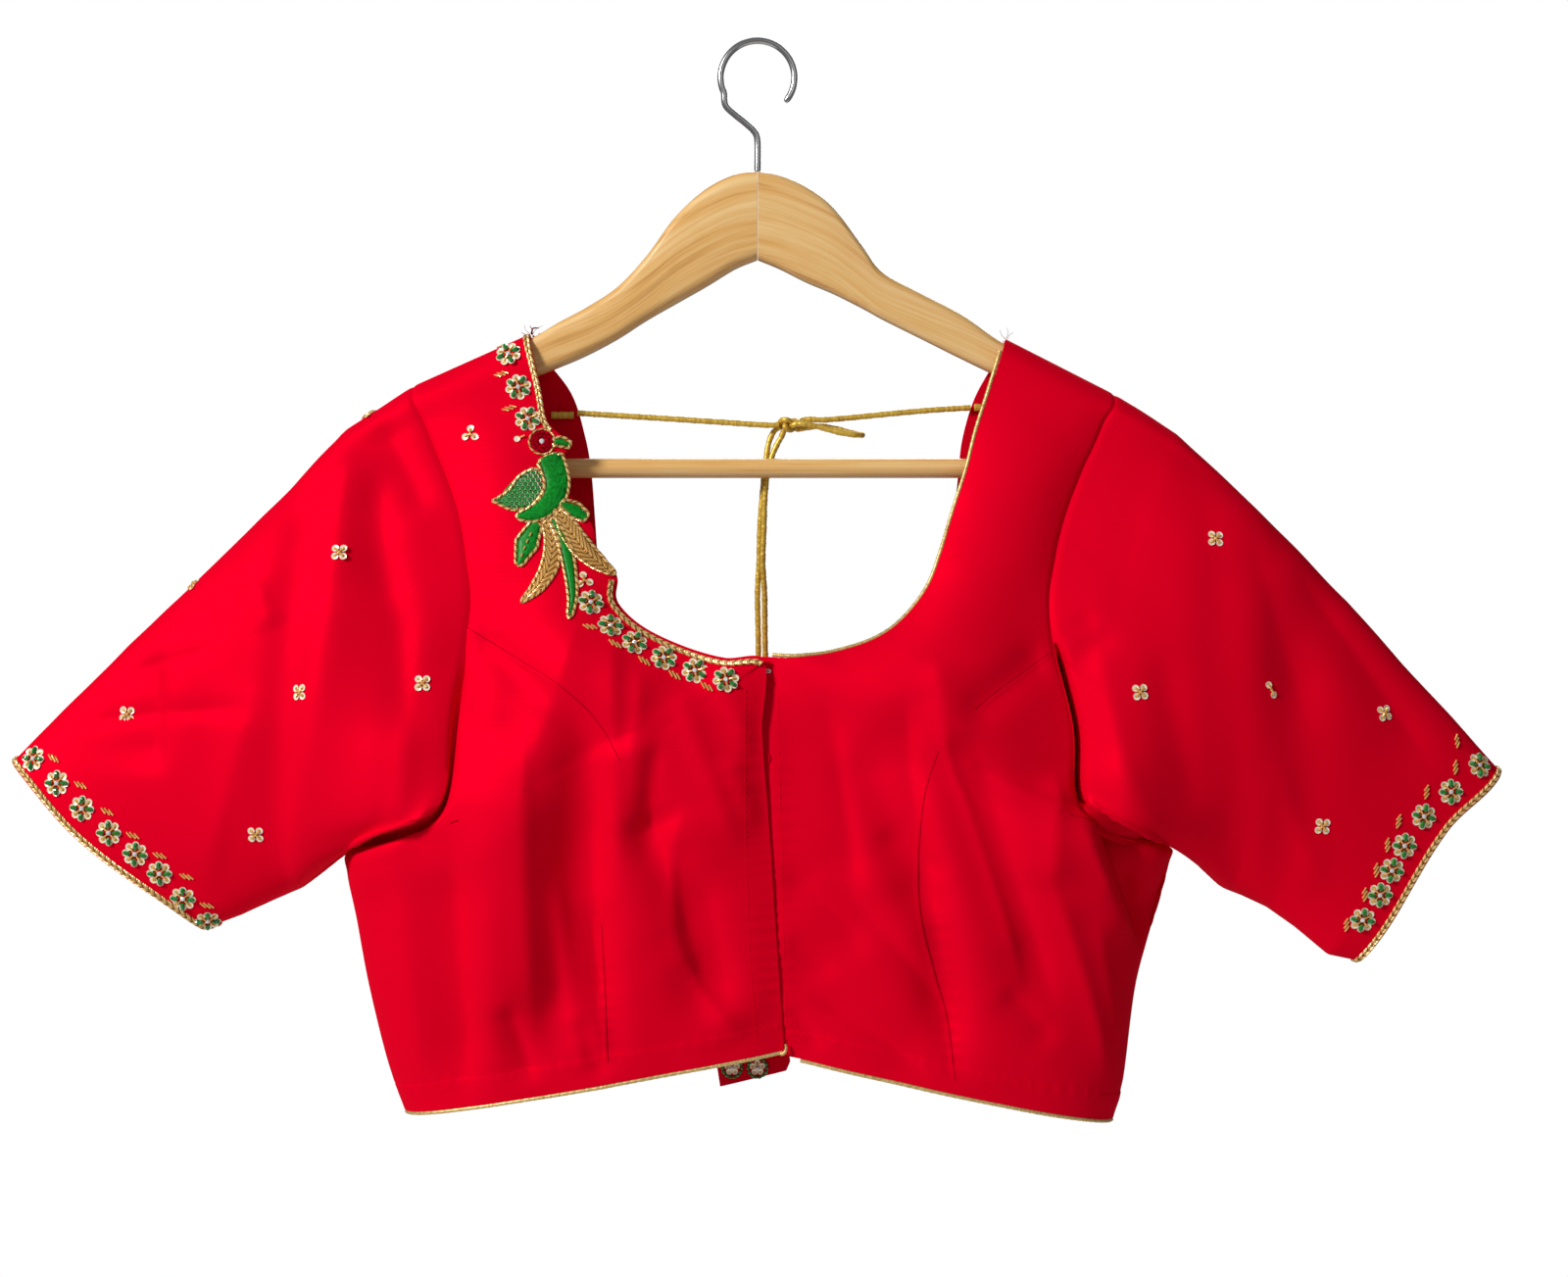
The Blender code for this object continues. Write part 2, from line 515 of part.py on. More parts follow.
def sleeve_surface(table, hole, folds, root, bow, side, steps):
    """Outer points [section, around] of a sleeve and the first ring's normals.
    The first ring is the armhole, the later sections are flattened ellipses."""
    ring, norm, way, run, half = hole
    t = np.array(table, float)
    closed = np.vstack([ring, ring[:1]])
    seg = np.linalg.norm(np.diff(closed, axis=0), axis=1)
    theta = np.zeros(len(ring))
    front_len, back_len = seg[:half].sum(), seg[half:].sum()
    theta[:half + 1] = np.concatenate([[0], np.cumsum(seg[:half])]) / front_len * math.pi
    theta[half:] = math.pi + np.concatenate([[0], np.cumsum(seg[half:-1])]) / back_len * math.pi

    def section(s):
        v = {c: np.interp(s, t[:, 0], t[:, k]) for k, c in enumerate(SLEEVE_COLUMNS)}
        top, bot = np.array([v["xt"], 0, v["zt"]]), np.array([v["xb"], 0, v["zb"]])
        c, si = np.cos(theta), np.sin(theta)
        pts = (top + bot) / 2 + np.outer(c, (top - bot) / 2)
        pts[:, 1] += np.where(si >= 0, -v["front"], v["back"]) * np.abs(si) ** 0.85
        # the cuff's edge bows out along the arm, most at bow[1] of its height
        share = (1 - c) / 2
        peak = np.where(share < bow[1], share / bow[1], (1 - share) / (1 - bow[1]))
        arm = np.array([top[2] - bot[2], 0, bot[0] - top[0]]) * side
        arm /= np.linalg.norm(arm)
        pts += np.outer(np.sin(peak * math.pi / 2) ** 2, arm) * bow[0] * smooth(0.6, 1.0, s)
        return pts

    base = section(0.0)
    down = theta / math.pi                      # 1 at the underarm
    low = np.where(down > 1, 2 - down, down)
    grow = np.exp(-((down - 0.77) / 0.17) ** 2) * (theta < math.pi)
    rise = np.where(theta <= math.pi + 0.01, ROOT_RISE[0], ROOT_RISE[1])
    leave = norm * (smooth(0.30, 0.75, low) * rise)[:, None]

    def free(s):
        keep = 1.0 - smooth(0.0, 0.34, s)
        pts = section(s) + (ring - base) * keep
        lift = smooth(-0.02, 0.05, s) * (1.0 - smooth(0.08, 0.30, s))
        pts += leave * lift
        pts[:, 0] += -side * root[0] * grow * lift
        pts[:, 1] -= root[1] * grow * lift
        wave = fold_depth(pts[:, 0], pts[:, 2], folds) * smooth(0.03, 0.12, s)
        pts[:, 1] += wave * np.sin(theta)
        return pts

    # the cloth leaves the seam straight towards its section at ROOT_END,
    # turned by an angle from the way the panel would go on
    goal = free(ROOT_END)
    aim = goal - ring
    aim -= run * (aim * run).sum(axis=1)[:, None]
    turn = np.arctan2((aim * norm).sum(axis=1), (aim * way).sum(axis=1))
    cos, sin = np.cos(turn)[:, None], np.sin(turn)[:, None]
    gap = SEAM + CLOTH * np.maximum(0.0, -np.sin(turn))[:, None]
    start = ring + gap * (np.cos(turn / 2)[:, None] * way + np.sin(turn / 2)[:, None] * norm)
    first_normals = cos * norm - sin * way
    out = [start + (goal - start) * (s / ROOT_END) if s < ROOT_END else free(s)
           for s in steps]
    return np.array(out), first_normals


def ring_normals(grid):
    du = np.roll(grid, -1, axis=1) - np.roll(grid, 1, axis=1)
    dv = np.gradient(grid, axis=0)
    n = np.cross(du, dv)
    n /= np.linalg.norm(n, axis=2)[:, :, None]
    centre = grid.mean(axis=1, keepdims=True)
    if ((grid - centre) * n).sum() < 0:
        n = -n
    return n


def build_sleeve(name, table, front, back, folds, root, bow, side):
    grid, first = sleeve_surface(table, armhole(front, back), folds, root, bow, side,
                                 SLEEVE_STEPS)
    n = ring_normals(grid)
    n[0] = first
    rows, cols = grid.shape[:2]
    faces = [(i * cols + j, i * cols + (j + 1) % cols,
              (i + 1) * cols + (j + 1) % cols, (i + 1) * cols + j)
             for i in range(rows - 1) for j in range(cols)]
    shell(name, grid.reshape(-1, 3), n.reshape(-1, 3), faces)
    return grid, n


# ---------------------------------------------------------------- trims
def edge_tube(name, edge, normals, outward, diameter):
    """Piping along an edge of a wall, a seam gap outside its cut face."""
    mid = edge - normals * CLOTH / 2
    tube(name, mid + outward * (diameter / 2 + SEAM), diameter)


def outward_of(grid, normals, which):
    """Unit directions in the surface, square to an edge and away from it."""
    line, inside = (grid[0], grid[1]) if which == "hem" else (grid[:, 0], grid[:, 1])
    norm = normals[0] if which == "hem" else normals[:, 0]
    d = np.cross(np.gradient(line, axis=0), norm)
    d /= np.linalg.norm(d, axis=1)[:, None]
    return d * np.sign(((line - inside) * d).sum(axis=1))[:, None]


def build_pipings(p):
    for key, name in (("front_right", "hem_piping_right"),
                      ("front_left", "hem_piping_left")):
        grid, normals, marks = p[key]
        start = 0 if key == "front_right" else 2
        edge_tube(name, grid[0, start:-1], normals[0, start:-1],
                  outward_of(grid, normals, "hem")[start:-1], PIPE)
    (gr, nr, _), (gl, nl, _) = p["back_right"], p["back_left"]
    edge = np.vstack([gr[0, 1:-1][::-1], gl[0, :-1]])
    norm = np.vstack([nr[0, 1:-1][::-1], nl[0, :-1]])
    out = np.vstack([outward_of(gr, nr, "hem")[1:-1][::-1], outward_of(gl, nl, "hem")[:-1]])
    edge_tube("hem_piping_back", edge, norm, out, PIPE)
    grid, normals, marks = p["front_left"]
    rows = [i for i in range(len(marks)) if NECK_PIPE_ROWS[0] <= marks[i] <= NECK_PIPE_ROWS[1]]
    edge_tube("neck_piping_left", grid[rows, 0], normals[rows, 0],
              outward_of(grid, normals, "inner")[rows], PIPE)


def knot_exit(name):
    """Where a cord starts, a seam gap off the knot's face, and a point on."""
    d = np.array(KNOT_EXITS[name])
    half = np.array(KNOT_HALF)
    surface = d / np.linalg.norm(d / half)
    out = surface / half ** 2
    out /= np.linalg.norm(out)
    start = np.array(KNOT) + surface + out * SEAM
    return [start, start + out * DORI]


def build_dori():
    cords = {"dori_cord_right": DORI_RIGHT + knot_exit("cord_right")[::-1],
             "dori_cord_left": DORI_LEFT + knot_exit("cord_left")[::-1],
             "dori_loop": (knot_exit("loop_out") + DORI_LOOP
                           + knot_exit("loop_back")[::-1]),
             "dori_tail_right": knot_exit("tail_right") + TAIL_RIGHT,
             "dori_tail_left": knot_exit("tail_left") + TAIL_LEFT}
    for name, points in cords.items():
        tube(name, along(points, CORD_STEP), DORI)
    bpy.ops.mesh.primitive_uv_sphere_add(segments=16, ring_count=10, radius=1.0)
    knot = bpy.context.active_object
    knot.name = "dori_knot"
    knot.location = tuple(c * MM for c in KNOT)
    knot.scale = tuple(c * MM for c in KNOT_HALF)
    bpy.ops.object.transform_apply(location=True, rotation=False, scale=True)
    finish(knot, "gold")
    for side, (x0, x1, y, z) in DORI_ENDS.items():
        block("dori_end_" + side, (x0 + x1) / 2, y, z, x1 - x0, 1.4, 3.6)
    for side, (x, y, top, high, w0, w1, lean) in LATKANS.items():
        rows = [(0.0, w0 / 2, 0.0), (0.35, (w0 + w1) / 3.4, 0.0),
                (0.8, w1 / 2, 0.0), (1.0, w1 / 2 - 2, 1.0)]
        verts, faces = [], []
        for k, (t, half, tilt) in enumerate(rows):
            for dy in (-LATKAN_THICK / 2, LATKAN_THICK / 2):
                for sx in (-1, 1):
                    verts.append((x + sx * half, y + dy * (0.7 if k == 0 else 1.0),
                                  top - high * t - tilt * sx * lean / 2 * -1))
        for k in range(len(rows) - 1):
            a, b = 4 * k, 4 * (k + 1)
            faces += [(a, a + 1, b + 1, b), (a + 3, a + 2, b + 2, b + 3),
                      (a + 2, a, b, b + 2), (a + 1, a + 3, b + 3, b + 1)]
        last = 4 * (len(rows) - 1)
        faces += [(2, 3, 1, 0), (last, last + 1, last + 3, last + 2)]
        make_mesh("latkan_" + side, verts, faces, "red_silk")


def block(name, x, y, z, sx, sy, sz):
    v = [(x + i * sx / 2, y + j * sy / 2, z + k * sz / 2)
         for i in (-1, 1) for j in (-1, 1) for k in (-1, 1)]
    f = [(0, 1, 3, 2), (4, 6, 7, 5), (0, 4, 5, 1), (2, 3, 7, 6), (0, 2, 6, 4), (1, 5, 7, 3)]
    return make_mesh(name, v, f, "gold")


# ---------------------------------------------------------------- hanger
def build_arm(name, table):
    """Rounded bar of wood through the table's stations."""
    around = [(math.cos(math.radians(d)), math.sin(math.radians(d)))
              for d in (0, 25, 50, 75, 105, 130, 155, 180, 205, 230, 255, 285,
                        310, 335)]
    verts, faces = [], []
    for x, top, bottom, half in table:
        mid, tall = (top + bottom) / 2, (top - bottom) / 2
        edge = min(half, tall)                # radius of the rounded edges
        for c, s in around:
            rise = (tall - edge) * (0 if abs(s) < 1e-6 else math.copysign(1, s))
            verts.append((x, half * c, mid + rise + edge * s))
    n = len(around)
    for k in range(len(table) - 1):
        for j in range(n):
            faces.append((k * n + j, k * n + (j + 1) % n,
                          (k + 1) * n + (j + 1) % n, (k + 1) * n + j))
    faces.append(tuple(range(n)))
    faces.append(tuple(range((len(table) - 1) * n, len(table) * n))[::-1])
    return make_mesh(name, verts, faces, "wood")


def build_hanger():
    build_arm("hanger_yoke_right", ARM_RIGHT)
    build_arm("hanger_yoke_left", ARM_LEFT)
    half = 195.1
    bpy.ops.mesh.primitive_cylinder_add(vertices=20, radius=BAR_D / 2 * MM,
                                        depth=2 * half * MM)
    bar = bpy.context.active_object
    bar.name = "hanger_bar"
    bar.rotation_euler = (0, math.pi / 2, 0)
    bar.location = (0.0, 0, BAR_Z * MM)
    bpy.ops.object.transform_apply(location=True, rotation=True, scale=True)
    finish(bar, "wood")
    centre = HOOK_D / 2 - HOOK_R
    crook = [(HOOK_R * math.cos(math.radians(d)), centre + HOOK_R * math.sin(math.radians(d)))
             for d in range(205, -45, -12)]
    path = [(x, 0.0, z) for x, z in HOOK_STEM + crook]
    tube("hanger_hook", path, HOOK_D, "chrome")


# ---------------------------------------------------------------- build
for old in list(bpy.data.objects):
    bpy.data.objects.remove(old, do_unlink=True)

PANELS = panels()
build_bodice(PANELS)
build_sleeve("sleeve_right", SLEEVE_RIGHT, PANELS["front_right"], PANELS["back_right"],
             SLEEVE_FOLDS_RIGHT, ROOT_FOLD["right"], CUFF_BOW["right"], -1)
build_sleeve("sleeve_left", SLEEVE_LEFT, PANELS["front_left"], PANELS["back_left"],
             SLEEVE_FOLDS_LEFT, ROOT_FOLD["left"], CUFF_BOW["left"], 1)
build_pipings(PANELS)
build_dori()
build_hanger()
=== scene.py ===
"""Looks of the red choli blouse on its wooden bar hanger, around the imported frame."""
import math
import bpy
import numpy as np
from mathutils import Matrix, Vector
from mathutils.bvhtree import BVHTree


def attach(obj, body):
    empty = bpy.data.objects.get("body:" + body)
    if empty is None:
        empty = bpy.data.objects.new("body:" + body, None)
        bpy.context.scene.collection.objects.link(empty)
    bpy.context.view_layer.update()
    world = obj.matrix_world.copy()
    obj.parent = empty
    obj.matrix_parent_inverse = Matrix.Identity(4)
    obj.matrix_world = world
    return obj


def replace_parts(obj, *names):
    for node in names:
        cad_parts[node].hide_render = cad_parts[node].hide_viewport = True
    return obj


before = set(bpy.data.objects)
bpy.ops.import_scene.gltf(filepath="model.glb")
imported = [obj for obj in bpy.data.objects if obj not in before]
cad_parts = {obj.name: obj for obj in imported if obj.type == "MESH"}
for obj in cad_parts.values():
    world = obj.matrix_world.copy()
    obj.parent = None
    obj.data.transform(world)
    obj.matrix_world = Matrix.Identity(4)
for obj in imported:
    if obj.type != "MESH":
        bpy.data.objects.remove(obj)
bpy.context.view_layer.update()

MM = 0.001
BODY = "root"
UP = np.array([0.0, 0.0, 1.0])

# ---------------------------------------------------------------- camera
PHOTO_W = 1600                # width of the photographed frame, in pixels
PHOTO_SCALE = 0.478 * MM      # metres to a pixel in the hanger's plane
CAM = (0.0129, -1.1, -0.290)


def add_camera():
    data = bpy.data.cameras.new("camera")
    data.sensor_fit = 'HORIZONTAL'
    data.angle = 2 * math.atan(PHOTO_W * PHOTO_SCALE / 2 / -CAM[1])
    camera = bpy.data.objects.new("camera", data)
    bpy.context.scene.collection.objects.link(camera)
    camera.location = CAM
    camera.rotation_euler = (math.pi / 2, 0.0, 0.0)
    bpy.context.scene.camera = camera


add_camera()

# ---------------------------------------------------------------- sizes, mm
CLOTH = 1.4          # thickness of a cloth wall
SHELL = 0.8          # thickness of the cloth as it is drawn
COLS = 13            # steps across a half panel of the solids
FINE = 7             # fine rows for each row of the solids
PIPE = 2.0           # diameter of the hem and neck piping
DORI = 2.8           # diameter of the tie cord
CORD_STEP = 7.0      # distance between two points of a cord
NECK_ROW = 5         # table row at the underarm and the bottom of the neckline
TIP_ROW = 8          # lowest table row that the neckline's tips may move
FOLD_TOP = (14.5, 16.0)      # table rows over which folds die away at the shoulder
NECK_PIPE_FROM, NECK_PIPE_TOP = 6.6, 16.1     # the left neck piping: first x, last row
ROOT_COLUMN = -3     # solid's column that shows which way a panel runs at its edge

# ---------------------------------------------------------------- tables
# A row for each section of a half panel, from the hem to the shoulder seam.
# inner edge (centre or neckline): xi yi zi; depth at a third and two thirds
# of the width: y1 y2; outer edge (side seam, armhole): xo yo zo
HALF_COLUMNS = ("xi", "yi", "zi", "y1", "y2", "xo", "yo", "zo")
# For each of these rows: 1 where the section closes like a lens; steps up to the next row
LENS_FRONT = [1] * 6 + [0.7, 0.3] + [0] * 10
LENS_BACK = [1] * 6 + [0.6, 0.2] + [0] * 10
STEPS_UP = [2, 2, 2, 2, 1, 2, 1, 1, 1, 1, 2, 2, 2, 2, 1, 1, 2]
FRONT_RIGHT = [
    (13, -32.5, -485, -36, -26, -171.5, 0, -518.5),
    (11, -36.5, -455, -41, -30, -180, 0, -495),
    (8, -41.5, -410, -47, -34, -189, 0, -458),
    (6, -44, -370, -50, -37, -195, 0, -425),
    (5, -44, -335, -52, -41, -199, 0, -404),
    (5, -39, -301, -52, -42, -198, 0, -393),
    (-15, -38, -299, -51, -47, -168, -31, -386),
    (-33, -36, -294, -51, -48, -147, -40, -370),
    (-51, -34, -286, -48, -45, -143, -37, -331),
    (-63, -32, -277, -42, -40, -138, -33, -294),
    (-73, -30, -266, -37, -35, -136, -30, -272),
    (-82, -26, -247, -32, -31, -138, -27, -256),
    (-91, -22, -228, -27, -26, -142, -22, -234),
    (-98, -18, -209, -22, -21, -148, -17, -216),
    (-101, -15, -190, -18, -17, -155, -13, -200),
    (-104, -11.5, -171, -13, -13, -161, -10.5, -186),
    (-109.5, -9.2, -149, -9.3, -9.1, -167, -8.6, -174),
    (-111, 0, -141.5, 0, 0, -168, 0, -167),
]
FRONT_LEFT = [
    (-8, -24.2, -483, -35, -26, 173, 0, -522.5),
    (-8, -29, -453, -41, -30, 178, 0, -504),
    (-9, -34, -410, -47, -34, 184, 0, -458),
    (-9, -37, -370, -50, -37, 193, 0, -425),
    (-9, -36.5, -335, -51, -40, 200, 0, -400),
    (-9, -31, -302, -50, -40, 200, 0, -391),
    (19, -38, -299, -51, -47, 171, -31, -384),
    (38, -37, -296, -51, -48, 151, -39, -369),
    (56, -36, -290, -48, -45, 149, -37, -332),
    (69, -33, -281, -43, -40, 141, -33, -296),
    (81, -30, -266, -37, -35, 139, -29, -272),
    (88, -27, -249, -32, -31, 142, -24, -252),
    (94, -22, -230, -27, -26, 147, -19, -233),
    (101, -18, -209, -22, -21, 156, -14.5, -210),
    (106, -15, -190, -18, -17, 163, -12, -196),
    (112, -11.5, -172, -13, -13, 168, -10, -185),
    (118.5, -9.2, -151.5, -9.3, -9.1, 173, -8.6, -177.5),
    (121, 0, -144, 0, 0, 174, 0, -171),
]
BACK_RIGHT = [
    (3, 15, -482, 15, 11, -171.5, 0, -518.5),
    (4, 17, -458, 17, 12, -180, 0, -495),
    (5, 19, -425, 20, 14, -189, 0, -458),
    (6, 20, -397, 23, 16, -195, 0, -425),
    (7, 20, -372, 25, 18, -199, 0, -404),
    (8, 20, -347, 26, 19, -198, 0, -393),
    (-20, 20, -344, 26, 21, -174, 12, -380),
    (-45, 20, -335, 26, 23, -156, 17, -348),
    (-62, 20, -318, 25, 23, -147, 20, -317),
    (-71, 19, -299, 24, 23, -143, 20, -290),
    (-75, 19, -281, 22, 22, -142, 20, -272),
    (-78, 18, -256, 21, 21, -143, 18, -254),
    (-80, 17, -232, 19, 19, -146, 16, -233),
    (-82, 15, -209, 16, 16, -150, 14, -215),
    (-85, 13, -191, 14, 14, -155, 12.5, -200),
    (-92, 11, -169, 12, 12, -161, 10.5, -186),
    (-107.5, 9.6, -149, 9.4, 9.1, -167, 8.6, -174),
    (-111, 0, -141.5, 0, 0, -168, 0, -167),
]
BACK_LEFT = [
    (3, 15, -482, 15, 11, 173, 0, -522.5),
    (4, 17, -458, 17, 12, 178, 0, -504),
    (5, 19, -425, 20, 14, 184, 0, -458),
    (6, 20, -397, 23, 16, 193, 0, -425),
    (7, 20, -372, 25, 18, 200, 0, -400),
    (8, 20, -347, 26, 19, 200, 0, -391),
    (36, 20, -344, 26, 21, 173, 11, -372),
    (61, 20, -335, 26, 23, 159, 17, -343),
    (78, 20, -318, 25, 23, 151, 20, -312),
    (87, 19, -299, 24, 23, 148, 20, -290),
    (92, 19, -281, 22, 22, 147, 20, -272),
    (95, 18, -256, 21, 21, 148, 18, -254),
    (97, 17, -232, 19, 19, 151, 16, -233),
    (99, 15, -209, 16, 16, 157, 14, -212),
    (101, 13, -191, 14, 14, 163, 12, -197),
    (107, 11, -171, 12, 12, 168, 10.5, -185),
    (118, 9.6, -151.5, 9.4, 9.1, 173, 8.6, -177.5),
    (121, 0, -144, 0, 0, 174, 0, -171),
]

# How far the middle of a row hangs below its ends, columns: table row, sag
SAG_FRONT = [(0, 0), (2, 2), (3, 5), (4, 10), (5, 14), (6, 7), (7, 1), (8, 0)]
SAG_NONE = [(0, 0)]

# Folds, columns xa za xb zb wide deep: the line from (xa, za) to (xb, zb), its
# half width and its depth (a minus is a ridge)
FOLDS_FRONT_RIGHT = [
    (-130, -290, -78, -335, 9, 2.5),        # armhole dart
    (-78, -335, -96, -480, 16, 7),        # trough below the dart
    (-128, -310, -127, -490, 12, -3.5),     # ridge beside the sleeve
    (-60, -340, -48, -372, 14, -3),       # bust point
    (-52, -358, -24, -462, 12, 7),        # long S fold
    (-72, -420, -68, -487, 8, 2.5),         # waist dart
]
FOLDS_FRONT_LEFT = [
    (134, -298, 100, -325, 9, 2.5),
    (88, -340, 128, -450, 13, 6),
    (50, -345, 76, -415, 12, 4.5),
    (78, -395, 92, -488, 10, 3),
    (20, -440, 80, -480, 16, 3),
    (172, -405, 186, -440, 7, 5),         # fold behind the front's side edge
]
FOLDS_BACK_RIGHT = [
    (-70, -400, -66, -486, 10, 3),
    (-120, -330, -100, -480, 16, 4),
    (-30, -380, -40, -480, 14, 2.5),
]
FOLDS_BACK_LEFT = [
    (78, -400, 74, -486, 10, 3),
    (126, -330, 108, -480, 16, 4),
    (42, -380, 50, -480, 14, 2.5),
]
# Cut edge of the peacock on the right front's neckline, columns z half out:
# each tip's height, half width and how far it stands out
NECK_TIPS = [(-196.5, 7, 9), (-214, 12, 3.5), (-236, 12, 8.5), (-260, 10, 9.5)]

# Sleeve sections from armhole to cuff: share of the way, top edge, bottom
# edge, and how far the front and the back stand off the plane between them
SLEEVE_COLUMNS = ("s", "xt", "zt", "xb", "zb", "front", "back")
SLEEVE_RIGHT = [
    (0, -168, -167, -198, -393, 34, 20),
    (0.06, -178, -173.5, -204, -399, 36, 21),
    (0.14, -201, -188.5, -211, -404, 37, 23),
    (0.25, -226, -216.5, -220, -409, 36, 23),
    (0.4, -256, -246, -231, -415, 31, 21),
    (0.55, -285, -273, -241, -420, 27, 19),
    (0.7, -313, -300, -251, -424.5, 23, 17),
    (0.85, -339, -325.5, -261, -428, 19, 15),
    (1, -363, -350, -270.5, -431, 16, 13),
]
SLEEVE_LEFT = [
    (0, 174, -171, 200, -391, 30, 20),
    (0.06, 184, -177, 206, -399, 33, 21),
    (0.14, 205, -190.5, 214, -404.5, 35, 23),
    (0.25, 231, -216, 224, -410, 34, 23),
    (0.4, 259, -243, 236, -415, 31, 21),
    (0.55, 287, -271, 248, -421, 27, 19),
    (0.7, 314, -302, 262, -431, 23, 17),
    (0.85, 339, -329, 278, -444, 19, 15),
    (1, 362, -355, 293, -447, 16, 13),
]
# Bow of the cuff's edge out of its straight line, and its share of the height
CUFF_BOW = {"right": (4, 0.42), "left": (-7, 0.36)}
SLEEVE_FOLDS_RIGHT = [
    (-214, -205, -228, -408, 13, 4),      # from the hanger's end
    (-262, -262, -250, -408, 16, 2),
]
SLEEVE_FOLDS_LEFT = [
    (214, -203, 222, -404, 13, 3),
    (262, -262, 252, -410, 16, 2),
]
# Fold of each sleeve at the front of the armhole: towards the body, forward
ROOT_FOLD = (3, 3)
ROOT_END = 0.09      # share of the sleeve that is straight from the seam
RISE_DOWN = (0.3, 0.75)  # where on the way down the armhole the rise below is full
RISE_IN, RISE_OUT = (-0.02, 0.05), (0.08, 0.3)   # shares of the sleeve where it comes and goes
ROOT_FOLD_AT, ROOT_FOLD_WIDE = 0.77, 0.17        # place of the fold on that way down
RING_FADE = 0.34         # share of the sleeve over which the armhole's shape dies away
SLEEVE_ROUND = 0.85      # below 1 its section is fuller than an ellipse
BOW_FROM = 0.6           # share from which the cuff's bow grows
SLEEVE_FOLD_IN = (0.03, 0.12)                    # shares where the sleeve's folds begin
ROOT_RISE = (9.5, 6)     # rise from the lower armhole seam, front and back
UNDERARM_UP = 0.6    # upward part of the cloth's normal at the underarm

# Hanger arms, columns: station x, top edge, bottom edge, half thickness
ARM_RIGHT = [
    (-0.15, -62.5, -105.5, 6.5), (-11, -64, -110, 6.5),
    (-25, -71, -118.5, 6.5), (-40, -84.5, -127, 6.4), (-54, -103.5, -135, 6.2),
    (-68, -118.5, -144, 6), (-83, -128.5, -152, 5.8),
    (-97, -136, -158, 5.6), (-110, -143.6, -163, 5.5),
    (-131, -153, -170, 5.5), (-168, -169.5, -185, 5.5),
    (-186, -181.5, -197, 5.4), (-195.5, -188.5, -201.4, 5.2),
    (-195.9, -189, -212.5, 5.2), (-206, -198, -212.5, 4.8),
    (-212, -205, -210, 3),
]
ARM_LEFT = [
    (0.15, -62.5, -105.5, 6.5), (11, -64.5, -110, 6.5),
    (24, -70, -116.5, 6.5), (37, -80, -122, 6.4), (51, -98.5, -129, 6.2),
    (61, -111.5, -134.5, 6.1), (80, -122, -144, 5.8), (100, -132.5, -154, 5.6),
    (120, -146.2, -163.5, 5.5), (145, -158.5, -174, 5.5),
    (174, -173.8, -188, 5.5), (188, -183.5, -198.5, 5.4),
    (195.5, -189, -201.4, 5.2), (195.9, -189.4, -212.5, 5.2),
    (205, -195.8, -212.5, 5), (211, -201.8, -210, 3.2),
]
BAR_Z = -207
BAR_D = 9.5
HOOK_D = 3.2
HOOK_R = 16.4 + HOOK_D / 2      # centre line of the crook
# Centre line of the hook from the yoke to the crook
HOOK_STEM = [(0, -61.9), (0, -47.5), (-1.6, -42.8), (-6, -38.6), (-11, -34.6),
             (-15.6, -30)]

# Knot of the ties, and the direction in which each cord leaves it
KNOT = (15.4, 5.6, -184.9)
KNOT_HALF = (6, 4.6, 4.2)
KNOT_EXITS = {"cord_right": (-1, -0.05, -0.05), "cord_left": (1, 0.1, 0.22),
              "loop_out": (1, -0.7, -0.05), "loop_back": (0.8, 0.9, -0.25),
              "tail_right": (-1, 0.6, -0.25), "tail_left": (-0.7, 0.2, -0.9)}
# Tie cord centre lines: x y z; each starts or ends at its exit from the knot
DORI_RIGHT = [(-88.6, 8.7, -179.2), (-67, 8.3, -180.6), (-45, 7.6, -182),
              (-16, 6.6, -184), (-2, 5.9, -185)]
DORI_LEFT = [(104.6, 8.6, -176.6), (88, 8.3, -177.6), (70.7, 7.8, -179.1),
             (42, 6.6, -182), (31, 6.2, -182.8)]
DORI_LOOP = [(29.8, 1.6, -186.6), (39.2, 0.9, -189.2), (45.5, 0.9, -190.3),
             (49.7, 2.4, -190.5), (51.2, 5.5, -190.2), (49.7, 8.7, -189.6),
             (45.5, 10.1, -188.6), (39.2, 9.9, -186.9), (29.8, 9.4, -185.6)]
TAIL_RIGHT = [(7, 10.6, -189.6), (5.4, 10.6, -193.8), (4.3, 10.3, -200),
              (2.9, 10.2, -212), (2, 10.7, -222), (1, 12, -236),
              (0.6, 13.8, -253), (-0.2, 15.1, -268), (0.2, 18.1, -299),
              (-1, 21.5, -328), (-1.6, 24.6, -350), (-2.2, 25.2, -380),
              (-2.6, 25.2, -410), (-3.2, 24.4, -440), (-3.6, 23.2, -465.6)]
TAIL_LEFT = [(9.8, 7, -194.2), (7.2, 7, -200), (4.3, 7, -212),
             (3.4, 7.5, -222), (3, 9.1, -236), (2.4, 10.8, -253),
             (3.3, 13.6, -268), (3.7, 18.1, -299), (6, 21.9, -328), (10, 24.8, -350),
             (16, 25.6, -380), (22, 25.6, -410), (26, 25, -428.6)]
# Stitched down ends of the dori on the inside of the back: x0 x1 y z
DORI_ENDS = {"right": (-101.5, -90.4, 9, -180.2),
             "left": (106.4, 117, 9, -176.4)}
# Cloth ends of the tails: centre x, depth y, top z, height, top and bottom
# width, lean of the bottom edge
LATKANS = {"right": (-2.4, 22.8, -466, 43, 14, 37, 8),
           "left": (26.4, 24.6, -429, 43, 14, 37, -4)}
LATKAN_THICK = 3

DRAPE = 1.7              # how boldly the creases below stand
